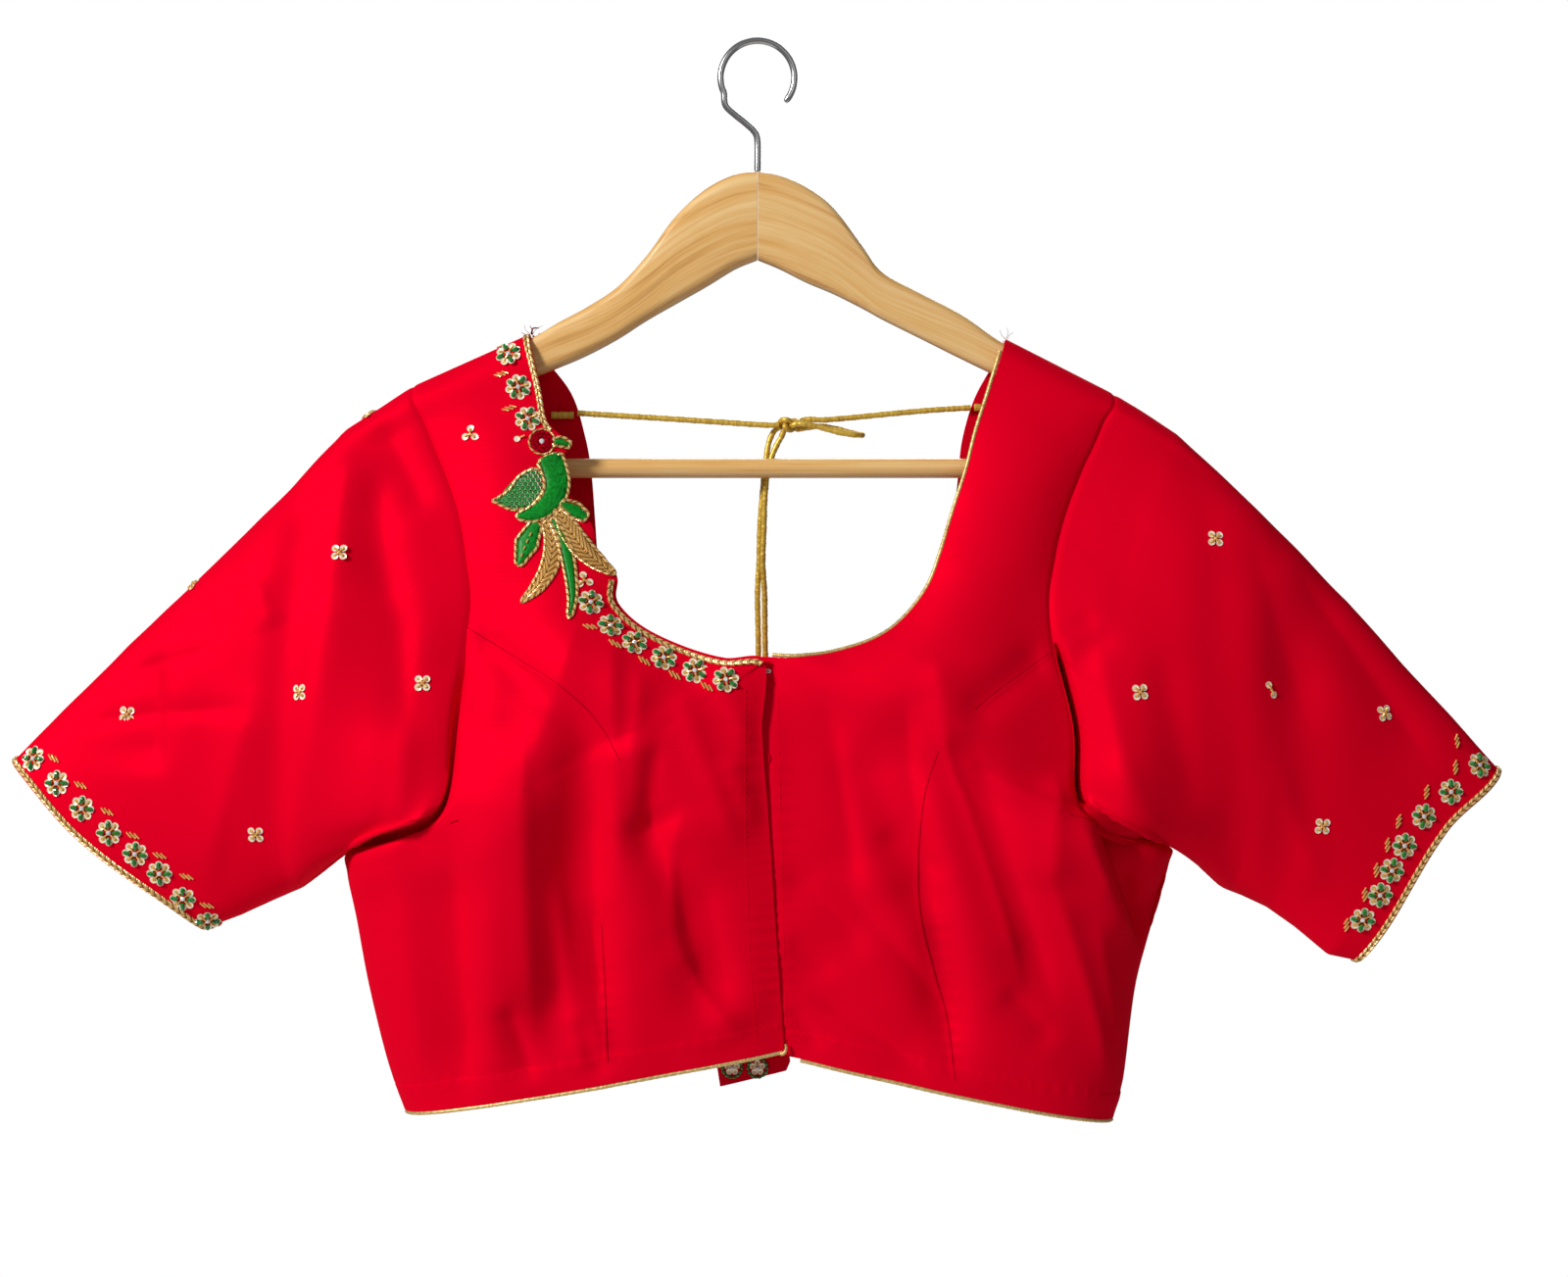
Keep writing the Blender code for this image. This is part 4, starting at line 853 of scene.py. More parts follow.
class Pile:
    """Meshes in millimetres, gathered into one piece."""

    def __init__(self):
        self.verts, self.faces, self.looks, self.weave = [], [], [], []
        self.count = 0

    def add(self, verts, faces, look=0, weave=None):
        verts = np.reshape(verts, (-1, 3))
        self.verts.append(verts)
        self.weave.append(verts if weave is None else np.reshape(weave, (-1, 3)))
        self.faces += [tuple(i + self.count for i in f) for f in faces]
        self.looks += look if isinstance(look, list) else [look] * len(faces)
        self.count += len(verts)

    def build(self, name, materials, sharp=50):
        mesh = bpy.data.meshes.new(name)
        mesh.from_pydata((np.vstack(self.verts) * MM).tolist(), [], self.faces)
        for material in materials:
            mesh.materials.append(material)
        mesh.polygons.foreach_set("material_index", self.looks)
        grain = mesh.attributes.new("weave", 'FLOAT_VECTOR', 'POINT')
        grain.data.foreach_set("vector", (np.vstack(self.weave) * MM).ravel())
        mesh.update()
        mesh.shade_smooth()
        mesh.set_sharp_from_angle(angle=math.radians(sharp))
        obj = bpy.data.objects.new(name, mesh)
        bpy.context.scene.collection.objects.link(obj)
        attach(obj, BODY)
        return obj


def grid_faces(rows, cols, flip=False, around=False):
    """Quads between rows of points, closed to rings where they go around."""
    faces = []
    for i in range(0, (rows - 1) * cols, cols):
        for j in range(cols if around else cols - 1):
            k = (j + 1) % cols
            f = (i + j, i + k, i + cols + k, i + cols + j)
            faces.append(f[::-1] if flip else f)
    return faces


def rim_edges(faces):
    """Directed edges that only one face has."""
    seen = {}
    for f in faces:
        for i in range(len(f)):
            u, v = f[i], f[(i + 1) % len(f)]
            if (v, u) in seen:
                del seen[v, u]
            else:
                seen[u, v] = True
    return list(seen)


def turned_out(faces, points, outward):
    """Faces turned so that they look the way in which their points face outwards."""
    a, b, c = (points[[f[k] for f in faces]] for k in range(3))
    wrong = (np.cross(b - a, c - b) * outward[[f[0] for f in faces]]).sum() < 0
    return [f[::-1] for f in faces] if wrong else faces


def two_sided(faces, count):
    """Faces of a closed sheet of two sides from those of its outer one."""
    back = [tuple(i + count for i in reversed(f)) for f in faces]
    return faces + back + [(v, u, u + count, v + count) for u, v in rim_edges(faces)]


def tube_faces(rows, sides, flip):
    """Faces of a tube with closed ends."""
    first, last = tuple(range(sides)), tuple(range((rows - 1) * sides, rows * sides))
    ends = [first, last[::-1]] if flip else [first[::-1], last]
    return grid_faces(rows, sides, around=True, flip=flip) + ends


def across_frames(path, ups):
    """Unit directions beside and above a path at each of its points."""
    run = unit(np.gradient(path, axis=0))
    if ups is None:
        up = np.array([0.0, 1.0, 0.0]) if abs(run[0, 1]) < 0.9 else UP
        ups = []
        for t in run:
            up = up - t * (up @ t)
            up = up / np.linalg.norm(up)
            ups.append(up)
        ups = np.array(ups)
    else:
        ups = unit(ups - run * (ups * run).sum(axis=1)[:, None])
    return np.cross(run, ups), ups


def tube(pile, path, radius, sides, ups=None, look=0, flat=1.0, twist=0.0, lobes=0.0):
    """Round tube along a path with closed ends; radius may vary along it.
    flat squeezes it upwards, and lobes with twist make turned strands."""
    side, up = across_frames(path, ups)
    radius = np.broadcast_to(np.asarray(radius, float), (len(path),))
    length = lengths(path)
    ang = np.arange(sides) * 2 * math.pi / sides
    wave = 1.0 + lobes * np.cos(3 * (ang[None, :] - (length * twist)[:, None]))
    verts = (path[:, None, :]
             + side[:, None, :] * (np.cos(ang)[None, :] * wave * radius[:, None])[:, :, None]
             + up[:, None, :] * (np.sin(ang)[None, :] * wave * flat * radius[:, None])[:, :, None])
    weave = np.zeros_like(verts)
    weave[:, :, 0] = length[:, None]
    weave[:, :, 1] = (ang / (2 * math.pi) * radius.max() * 6)[None, :]
    pile.add(verts, tube_faces(len(path), sides, True), look, weave)


def rope(pile, path, ups, looks, off, thick, pitch, hand=1, flat=1.0):
    """Twisted cord: strands, one for each look, wound round an even path."""
    length = lengths(path)
    side, up = across_frames(path, ups)
    for k, look in enumerate(looks):
        turn = hand * 2 * math.pi * (length / pitch) + 2 * math.pi * k / len(looks)
        centre = (path + side * (off * np.cos(turn))[:, None]
                  + up * (off * flat * np.sin(turn))[:, None])
        tube(pile, centre, thick, ROPE_SIDES, ups=up, look=look)


def disc(pile, centre, normal, radius, look, core=None, eye=0.45, spin=0.0):
    """Sequin: a small disc dished towards its middle, whose core may look different; where its rim
    takes the pale sequin colour, that rim is a painted highlight.
    """
    thick, cup, n = DISC_THICK, DISC_CUP, DISC_SIDES
    core = look if core is None else core
    normal = unit(normal)
    ring = all_round(normal, n, spin)
    top = centre + ring * radius + normal * (thick + cup)
    mid = centre + ring * radius * eye + normal * thick
    low = centre + ring * radius * 0.96 + normal * cup * 0.6
    verts = np.vstack([top, mid, low, [centre + normal * thick * 1.1], [centre]])
    faces = []
    for j in range(n):
        k = (j + 1) % n
        faces.append((j, k, n + k, n + j))
        faces.append((n + j, n + k, 3 * n))
        faces.append((j, 2 * n + j, 2 * n + k, k))
        faces.append((2 * n + k, 2 * n + j, 3 * n + 1))
    pile.add(verts, [f[::-1] for f in faces], [look, core, look, look] * n)


def rod(pile, a, b, normal, radius, look, coils=0):
    """Bugle bead, or with coils a short piece of coiled gold wire."""
    rings = 2 * coils + 1 if coils else len(BUGLE)
    t = np.linspace(0, 1, rings)
    if coils:
        size = radius * (1.0 + COIL_WAVE * np.where(np.arange(rings) % 2, 1, -1))
        size[[0, -1]] = radius * COIL_END
    else:
        size = radius * np.array(BUGLE)
    bend = normal * (np.sin(t * math.pi) * radius * 0.35)[:, None]
    tube(pile, a + (b - a) * t[:, None] + bend, size, ROD_SIDES,
         ups=np.broadcast_to(normal, (rings, 3)), look=look)


def gem(pile, centre, normal, radius, look):
    """Faceted crystal, flat on its back."""
    normal = unit(normal)
    n = GEM_SIDES
    ring = all_round(normal, n)
    verts = np.vstack([centre + ring * radius * r + normal * radius * h for r, h in GEM_RINGS]
                      + [[centre + normal * radius * GEM_TOP], [centre]])
    faces = []
    for j in range(n):
        k = (j + 1) % n
        faces += [(j, k, n + k, n + j), (n + j, n + k, 2 * n + k, 2 * n + j),
                  (2 * n + j, 2 * n + k, 3 * n), (k, j, 3 * n + 1)]
    pile.add(verts, [f[::-1] for f in faces], look)


class Surface:
    """Outer face of a piece of cloth, on which trims are laid."""

    def __init__(self, grid, normals, around=False):
        rows, cols = grid.shape[:2]
        self.faces = grid_faces(rows, cols, around=around)
        self.points = grid.reshape(-1, 3)
        self.normals = normals.reshape(-1, 3)
        self.tree = BVHTree.FromPolygons(self.points.tolist(), self.faces)

    def at(self, x, z, front=True, lift=0.0):
        """Point at x, z on the front or the back, lifted, and the normal."""
        y = -400.0 if front else 400.0
        hit = self.tree.ray_cast(Vector((x, y, z)), Vector((0, -math.copysign(1, y), 0)))
        if hit[0] is None:
            guess = self.tree.find_nearest(Vector((x, y / 10, z)))
            guess = self.tree.find_nearest(Vector((x, guess[0][1], z)))
            point, index = np.array([x, guess[0][1], z]), guess[2]
        else:
            point, index = np.array(hit[0]), hit[2]
        normal = self.normals[list(self.faces[index])].mean(axis=0)
        normal /= np.linalg.norm(normal)
        return point + normal * lift, normal

    def lay(self, line, front=True, lift=0.0):
        """Points on the cloth over those of an x, z line, and the normals."""
        both = [self.at(x, z, front, lift) for x, z in line]
        return (np.array(part) for part in zip(*both))


# ---------------------------------------------------------------- materials
class Look:
    """A node material with short helpers."""

    def __init__(self, name, **values):
        self.mat = bpy.data.materials.new(name)
        self.mat.use_nodes = True
        self.tree = self.mat.node_tree
        self.shader = self.tree.nodes["Principled BSDF"]
        for key, value in values.items():
            self.shader.inputs[key.replace("_", " ")].default_value = value

    def node(self, kind, **values):
        n = self.tree.nodes.new("ShaderNode" + kind)
        for key, value in values.items():
            if key in n.inputs:
                n.inputs[key].default_value = value
            else:
                setattr(n, key, value)
        return n

    def link(self, a, b):
        self.tree.links.new(a, b)

    def coords(self, scale, turn):
        """The weave coordinates of the piece, scaled and turned."""
        attr = self.node("Attribute", attribute_name="weave")
        place = self.node("Mapping")
        place.inputs["Scale"].default_value = scale
        place.inputs["Rotation"].default_value = (0, 0, turn)
        self.link(attr.outputs["Vector"], place.inputs["Vector"])
        return place.outputs["Vector"]

    def noise(self, stretch, detail, scale=1.0, turn=0.0):
        n = self.node("TexNoise", Scale=scale, Detail=detail)
        self.link(self.coords(stretch, turn), n.inputs["Vector"])
        return n.outputs["Fac"]

    def math(self, how, a, b):
        n = self.node("Math", operation=how)
        for socket, value in zip(n.inputs, (a, b)):
            if isinstance(value, (int, float)):
                socket.default_value = value
            else:
                self.link(value, socket)
        return n.outputs[0]

    def fit(self, value, lo, hi, new_lo, new_hi):
        n = self.node("MapRange")
        for key, number in zip(("From Min", "From Max", "To Min", "To Max"),
                               (lo, hi, new_lo, new_hi)):
            n.inputs[key].default_value = number
        self.link(value, n.inputs["Value"])
        return n.outputs["Result"]

    def set(self, key, socket):
        self.link(socket, self.shader.inputs[key])

    def tint(self, fac, light, dark):
        """Base colour from light to dark."""
        n = self.node("Mix", data_type='RGBA')
        n.inputs["A"].default_value = light
        n.inputs["B"].default_value = dark
        self.link(fac, n.inputs["Factor"])
        self.set("Base Color", n.outputs["Result"])

    def rough(self, value, lo, hi, smoothest, roughest):
        self.set("Roughness", self.fit(value, lo, hi, smoothest, roughest))

    def bump(self, height, distance, strength):
        n = self.node("Bump", Strength=strength, Distance=distance)
        self.link(height, n.inputs["Height"])
        self.link(n.outputs["Normal"], self.shader.inputs["Normal"])


THREAD_SLANT = 0.6       # turn of the strands in gold cord, radians


def silk(name, base, dark):
    """Raw silk with a fine weave, slubs and uneven tone."""
    look = Look(name, Roughness=0.5, Metallic=0.15, Specular_IOR_Level=0.0, Sheen_Weight=0.06,
                Sheen_Roughness=0.45, Sheen_Tint=(1.0, 0.0, 0.05, 1))
    warp = look.noise((2600, 90, 0), 1.0)
    weft = look.noise((90, 2600, 0), 1.0)
    slub = look.noise((26, 900, 0), 2.0)
    tone = look.noise((14, 9, 0), 3.0)
    shade = look.math('ADD', look.fit(slub, 0.35, 0.75, 0.0, 0.12),
                      look.fit(tone, 0.3, 0.7, 0.0, 0.30))
    look.tint(shade, base, dark)
    look.rough(slub, 0.3, 0.7, 0.50, 0.60)
    height = look.math('ADD', warp, look.math('ADD', weft, look.fit(slub, 0.4, 0.8, 0, 0.5)))
    look.bump(height, 0.00003, 0.35)
    return look.mat


def metal_thread(name, light, dark, scale, rough, metal):
    """Cloth or cord of gold thread, whose strands slant across it."""
    look = Look(name, Roughness=rough, Metallic=metal)
    threads = look.noise((scale, scale * 0.22, 0), 1.0, turn=THREAD_SLANT)
    tone = look.noise((1, 1, 1), 2.0, scale=160.0)
    mix = look.math('MULTIPLY', look.fit(threads, 0.35, 0.65, 0, 1),
                    look.fit(tone, 0.3, 0.7, 0.4, 1.0))
    # the darker strands of this tint are partly the thread's own tone and partly painted shade
    # between the strands
    look.tint(mix, light, dark)
    look.rough(tone, 0.3, 0.7, rough - 0.08, rough + 0.12)
    look.bump(threads, 0.00012, 0.6)
    return look.mat


def glossy(name, light, dark, rough, metal, coat=0.0):
    """Beads, sequins and wire."""
    look = Look(name, Roughness=rough, Metallic=metal, Coat_Weight=coat, Coat_Roughness=0.08)
    tone = look.noise((1, 1, 1), 2.0, scale=500.0)
    look.tint(look.fit(tone, 0.3, 0.7, 0, 1), light, dark)
    look.rough(tone, 0.3, 0.7, rough * 0.8, rough * 1.25)
    return look.mat


def satin_thread(name, light, dark):
    """Shiny parallel threads."""
    look = Look(name, Roughness=0.42, Specular_IOR_Level=0.2)
    threads = look.noise((500, 4200, 0), 1.0)
    look.tint(look.fit(threads, 0.35, 0.65, 0, 1), light, dark)
    look.bump(threads, 0.00010, 0.7)
    return look.mat


def wood(name):
    """Varnished light wood; the grain runs along the first weave coordinate."""
    look = Look(name, Roughness=0.42, Coat_Weight=0.55, Coat_Roughness=0.16)
    bend = look.noise((14, 60, 60), 2.0)
    fine = look.noise((22, 900, 900), 3.0)
    broad = look.noise((5, 170, 170), 3.0)
    wear = look.noise((90, 140, 140), 3.0)
    grain = look.math('ADD', look.math('MULTIPLY', fine, 0.45),
                      look.math('ADD', look.math('MULTIPLY', broad, 0.75),
                                look.math('MULTIPLY', bend, 0.2)))
    ramp = look.node("ValToRGB")
    stops = ramp.color_ramp.elements
    stops[0].position, stops[0].color = 0.42, (0.46, 0.19, 0.04, 1)
    stops[1].position, stops[1].color = 0.86, (0.90, 0.60, 0.26, 1)
    middle = stops.new(0.62)
    middle.color = (0.80, 0.44, 0.13, 1)
    look.link(grain, ramp.inputs["Fac"])
    look.set("Base Color", ramp.outputs["Color"])
    look.rough(wear, 0.35, 0.7, 0.28, 0.55)
    look.bump(look.math('ADD', look.math('MULTIPLY', fine, 0.4), wear), 0.00015, 0.5)
    return look.mat


def chrome(name):
    """Polished wire with fine scratches."""
    look = Look(name, Metallic=1.0)
    scratch = look.noise((90, 1800, 0), 2.0)
    look.tint(look.fit(scratch, 0.3, 0.7, 0, 1), (0.62, 0.62, 0.63, 1), (0.42, 0.42, 0.43, 1))
    look.rough(scratch, 0.3, 0.7, 0.14, 0.30)
    return look.mat


RED = silk("red_silk_cloth", (0.80, 0.0, 0.018, 1), (0.70, 0.0, 0.013, 1))
# dark red of the head's beads; the same material paints the shade line along the darts
DARK_RED = silk("dark_red_beads_and_painted_shade_line", (0.42, 0.0, 0.012, 1), (0.20, 0.0, 0.006, 1))
RED_THREAD = silk("red_thread", (0.84, 0.0, 0.018, 1), (0.72, 0.0, 0.013, 1))
FRAY = satin_thread("frayed_thread", (0.30, 0.02, 0.02, 1), (0.12, 0.01, 0.01, 1))
PIPING = metal_thread("gold_piping", (0.80, 0.58, 0.24, 1), (0.45, 0.27, 0.06, 1),
                      1400.0, 0.42, 0.55)
TIE = metal_thread("gold_tie_cloth", (0.84, 0.56, 0.08, 1), (0.50, 0.29, 0.03, 1),
                   900.0, 0.38, 0.4)
ZARI = metal_thread("gold_zari", (1.0, 0.76, 0.34, 1), (0.74, 0.40, 0.09, 1),
                    1100.0, 0.30, 0.45)
BULLION = glossy("gold_bullion", (1.0, 0.66, 0.22, 1), (0.70, 0.35, 0.07, 1), 0.26, 0.45)
DARK_GOLD = glossy("dark_gold", (0.42, 0.16, 0.03, 1), (0.24, 0.08, 0.012, 1), 0.34, 0.3)
# pale cream that paints the highlight on a gold sequin's rim, and on a whole sequin where no core
# is given
SEQUIN_HIGHLIGHT = glossy("gold_sequin_painted_highlight", (1.0, 0.95, 0.78, 1), (0.96, 0.82, 0.55, 1), 0.24, 0.2)
GREEN = glossy("green_bead", (0.0, 0.26, 0.03, 1), (0.0, 0.15, 0.02, 1), 0.22, 0.10, 0.5)
GREEN_SEQUIN = glossy("green_sequin", (0.02, 0.36, 0.07, 1), (0.0, 0.20, 0.03, 1),
                      0.22, 0.25, 0.5)
CRYSTAL = glossy("crystal", (0.95, 0.95, 0.93, 1), (0.70, 0.70, 0.72, 1), 0.06, 0.25, 1.0)
GREEN_SATIN = satin_thread("green_satin", (0.0, 0.31, 0.022, 1), (0.0, 0.17, 0.010, 1))
WOOD = wood("varnished_wood")
CHROME = chrome("chrome_wire")
STEEL = glossy("hook_steel", (0.92, 0.92, 0.93, 1), (0.7, 0.7, 0.72, 1), 0.3, 0.5)
EMBROIDERY = [SEQUIN_HIGHLIGHT, GREEN, BULLION, CRYSTAL, ZARI, GREEN_SATIN, GREEN_SEQUIN, DARK_RED,
              DARK_GOLD]
(L_SEQUIN_HIGHLIGHT, L_GREEN, L_BULLION, L_CRYSTAL, L_ZARI, L_SATIN, L_GREEN_SEQUIN, L_RED,
 L_DARK) = range(len(EMBROIDERY))


# ---------------------------------------------------------------- cords
INTO_KNOT = 0.9          # how far a cord's end runs in between the knot's turns
CORD_GAP, CORD_SIDES = 0.7, 12


def knot_exit(name):
    """Where a cord starts at the knot's face, and a point on."""
    d = np.array(KNOT_EXITS[name])
    half = np.array(KNOT_HALF)
    surface = d / np.linalg.norm(d / half)
    out = unit(surface / half ** 2)
    start = np.array(KNOT) + surface - out * INTO_KNOT
    return [tuple(start), tuple(start + out * (DORI + INTO_KNOT))]


def crumpled(path, radius):
    """Radius along a cord of rolled cloth, a little uneven."""
    run = lengths(path)
    return radius * (1.0 + 0.05 * np.sin(run * 0.9) + 0.04 * np.sin(run * 2.3 + 1.0))


def build_cords():
    routes = {"dori_cord_right": (DORI_RIGHT + knot_exit("cord_right")[::-1], "knot"),
              "dori_cord_left": (DORI_LEFT + knot_exit("cord_left")[::-1], "knot"),
              "dori_loop": (knot_exit("loop_out") + DORI_LOOP
                            + knot_exit("loop_back")[::-1], "object"),
              "dori_tail_right": (knot_exit("tail_right") + TAIL_RIGHT, "fitting"),
              "dori_tail_left": (knot_exit("tail_left") + TAIL_LEFT, "fitting")}
    ends = {"dori_tail_right": build_latkan("right"), "dori_tail_left": build_latkan("left")}
    for name, (points, end) in routes.items():
        path = even(along(points, CORD_STEP), CORD_GAP)
        pile = Pile()
        tube(pile, path, crumpled(path, DORI / 2), CORD_SIDES, twist=1.1, lobes=0.05)
        piece = pile.build(name + "_cloth", [TIE], 70)
        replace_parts(piece, name)


def build_knot():
    """Two turns of the tie drawn tight, inside the knot's outer form."""
    t = np.linspace(0, 2 * math.pi, 90)
    size = np.array(KNOT_HALF) - DORI / 2
    x = (np.sin(t) + 2 * np.sin(2 * t)) / 3 * size[0]
    z = (np.cos(t) - 2 * np.cos(2 * t)) / 3 * size[2]
    y = -np.sin(3 * t) * size[1]
    path = np.array(KNOT) + np.stack([x, y, z], axis=1)
    pile = Pile()
    tube(pile, path, crumpled(path, DORI / 2 * 0.98), CORD_SIDES)
    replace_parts(pile.build("dori_knot_cloth", [TIE], 70), "dori_knot")


def build_ends():
    """Ends of the ties, stitched down flat."""
    count, radius, flat = 16, 1.75, 0.42
    for side, (x0, x1, y, z) in DORI_ENDS.items():
        pile = Pile()
        path = np.array([(x, y, z) for x in np.linspace(x0, x1, count)])
        tube(pile, path, radius + 0.1 * np.sin(np.arange(count)), CORD_SIDES,
             ups=np.tile([0.0, 1.0, 0.0], (count, 1)), flat=flat)
        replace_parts(pile.build("dori_end_%s_cloth" % side, [TIE], 70),
                    "dori_end_" + side)


def ring_motif(pile, centre, normal):
    """Ring of green bugles round gold sequins."""
    for k, d, e in spokes(normal, 14):
        middle = centre + d * 4.8 + normal * 0.7
        rod(pile, middle - e, middle + e, normal, 0.72, L_GREEN)
    # the sequins' pale rims are a painted highlight around their gold cores
    for k, d, e in spokes(normal, 5, 0.3):
        disc(pile, centre + d * 2.4 + normal * 0.3, unit(normal + d * 0.1), 1.55, L_SEQUIN_HIGHLIGHT,
             L_BULLION, spin=k)
    gem(pile, centre + normal * 0.6, normal, 1.1, L_CRYSTAL)


# Rings on a hanging end: across and down from the middle of its top
LATKAN_RINGS = [(-10.5, 37.4), (2.1, 37.4), (-4.2, 25.8)]
LATKAN_GRID = (30, 52)   # points down and around
LATKAN_SQUARE = (0.55, 0.8)      # below 1 its section is squarer across and deep
LATKAN_RIM = 0.62        # thickness at its ends, as a share of that in the middle


def build_latkan(side):
    """Padded cloth end of a tail, with two rings and sequins on each face."""
    x, y, top, high, w0, w1, lean = LATKANS[side]
    rows, cols = LATKAN_GRID
    share = np.linspace(0, 1, rows)
    half = np.interp(share, (0.0, 0.35, 0.8, 1.0),
                     (w0 / 2, (w0 + w1) / 3.4, w1 / 2, w1 / 2 - 2))
    tilt = np.interp(share, (0.0, 0.8, 1.0), (0.0, 0.0, 1.0))
    around = np.linspace(0, 2 * math.pi, cols, endpoint=False)
    c, s = np.cos(around), np.sin(around)
    sx = np.sign(c) * np.abs(c) ** LATKAN_SQUARE[0]
    sy = np.sign(s) * np.abs(s) ** LATKAN_SQUARE[1]
    verts = []
    for t, w, lean_share in zip(share, half, tilt):
        pad = LATKAN_THICK / 2 * (LATKAN_RIM + (1 - LATKAN_RIM) * math.sin(t * math.pi))
        verts.append(np.stack([x + sx * w, y + sy * pad,
                               top - high * t + lean_share * sx * lean / 2], axis=1))
    pile = Pile()
    pile.add(verts, tube_faces(rows, cols, False))
    cloth = pile.build("latkan_%s_cloth" % side, [RED], 60)
    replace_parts(cloth, "latkan_" + side)
    trims = Pile()
    for front in (-1.0, 1.0):
        for dx, dz in LATKAN_RINGS:
            centre = np.array([x + dx, y + front * LATKAN_THICK / 2 * 0.80, top - dz])
            ring_motif(trims, centre, np.array([0.0, front, 0.0]))
    trim = trims.build("latkan_%s_embroidery" % side, EMBROIDERY)
    trim.parent = cloth
    return cloth


# ---------------------------------------------------------------- embroidery
FLOWER_R = 4.5       # from a flower's centre to the middle of its sequins
SEQUIN_R = 1.85
# Rods of a flower, columns: from and to on the way out, height, radius, look, coils
FLOWER_RODS = [(2.2, 5.7, 0.9, 1.05, L_GREEN, 0), (1.2, 4.6, 0.6, 0.5, L_BULLION, 6)]
# Wires of a group, columns: place in it, half length
STROKES = [(-1, 1.848), (0, 2.2), (1, 1.848)]
LEAF_GAP, LEAF_COLS = 0.36, 9      # satin stitches: distance, points across
LEAF_RIDGE = 0.05                  # how far every other stitch stands out
# Coils of a feather: distance, how far they lean, narrowest half width that has them
FEATHER_STEP, FEATHER_LEAN, FEATHER_LEAST = 1.0, 1.5, 0.5
ZARI_GAP, ZARI_PITCH = 0.42, 3.4   # twisted gold cord: distance of points, length of a turn
ZARI_R, BRAID_PITCH = 0.42, 3.6    # its strands' radius, and a turn where two lie side by side


def flower(pile, centre, normal, turn):
    """Eight gold sequins, four green bugles, four coils and a crystal."""
    for k, d, _ in spokes(normal, 8, turn):
        lift = 0.10 if k % 2 else 0.28
        lean = unit(normal + d * (0.10 + 0.06 * math.sin(3 * k + turn)))
        # pale rim: painted highlight around the sequin's gold core
        disc(pile, centre + d * FLOWER_R + normal * lift, lean, SEQUIN_R, L_SEQUIN_HIGHLIGHT, L_BULLION,
             eye=0.55, spin=k)
        near, far, high, radius, look, coils = FLOWER_RODS[k % 2]
        rod(pile, centre + d * near + normal * high, centre + d * far + normal * high, normal,
            radius, look, coils)
    gem(pile, centre + normal * 0.6, normal, 1.2, L_CRYSTAL)


def strokes(pile, centre, normal, turn):
    """A small stepped group of coiled gold wire."""
    _, d, e = next(spokes(normal, 1, turn))
    for off, half in STROKES:
        mid = centre - e * off * 1.25 + d * off * 1.5 + normal * 0.3
        rod(pile, mid - d * half, mid + d * half, normal, 0.44, L_BULLION, coils=6)


def butti(pile, centre, normal, turn, count):
    """Small scattered motif of sequins joined by coiled wire."""
    for k, d, _ in spokes(normal, count, turn):
        # pale rim: painted highlight around the sequin's gold core
        disc(pile, centre + d * 2.7 + normal * 0.12, unit(normal + d * 0.12), 1.75, L_SEQUIN_HIGHLIGHT,
             L_BULLION, spin=k)
        rod(pile, centre + d * 0.4 + normal * 0.55, centre + d * 2.9 + normal * 0.6, normal,
            0.55, L_BULLION, coils=4)
    gem(pile, centre + normal * 0.5, normal, 0.7, L_BULLION)


def scatter(pile, motif, cloth, spots, front=True):
    """A motif at many places: x, z, turn in degrees and what else it takes."""
    for x, z, turn, *more in spots:
        motif(pile, *cloth.at(x, z, front), math.radians(turn), *more)


def spread(widths, count):
    """Half widths given at even steps, at as many points as wanted."""
    return np.interp(np.linspace(0, 1, count), np.linspace(0, 1, len(widths)), widths)


def leaf(pile, surface, spine, widths, look, rise):
    """Padded satin stitch across a spine of x, z points."""
    line = even(spine, LEAF_GAP)
    half = spread(widths, len(line))
    _, side = line_sides(line)
    cols = LEAF_COLS
    s = np.linspace(-1, 1, cols)
    top, low = [], []
    for i, (p, w, e) in enumerate(zip(line, half, side)):
        for c in s:
            q = p + e * w * c
            base, normal = surface.at(q[0], q[1])
            dome = rise * math.sqrt(max(0.0, 1 - c * c)) * min(1.0, w / 1.2)
            top.append(base + normal * (0.12 + dome + (LEAF_RIDGE if i % 2 else 0.0)))
            low.append(base - normal * 0.25)
    top, low = np.array(top), np.array(low)
    faces = turned_out(grid_faces(len(line), cols), top, top - low)
    verts = np.vstack([top, low])
    weave = np.zeros_like(verts)
    share = np.linspace(0, 1, len(line))
    weave[:, 0] = np.tile(np.repeat(share * len(line) * LEAF_GAP, cols), 2)
    weave[:, 1] = np.tile(np.tile(s, len(line)), 2)
    pile.add(verts, two_sided(faces, len(top)), look, weave)


def feather(pile, surface, spine, widths):
    """Light and dark coils laid like a herringbone on both sides of a spine."""
    # a dark brown satin bed under the coils paints the shade seen in the gaps between them
    leaf(pile, surface, spine, widths, L_DARK, 0.2)
    line = even(spine, FEATHER_STEP)
    half = spread(widths, len(line))
    run, side = line_sides(line)
    for i in np.flatnonzero(half >= FEATHER_LEAST):
        w = half[i]
        for hand in (-1, 1):
            a = line[i] + side[i] * hand * 0.15 + run[i] * 0.3
            b = line[i] + side[i] * hand * w - run[i] * w * FEATHER_LEAN
            pa, na = surface.at(a[0], a[1], lift=0.55)
            pb = surface.at(b[0], b[1], lift=0.35)[0]
            look = L_DARK if i % 3 == 1 else L_BULLION
            rod(pile, pa, pb, na, 0.38, look, coils=max(2, int(w * 1.6)))


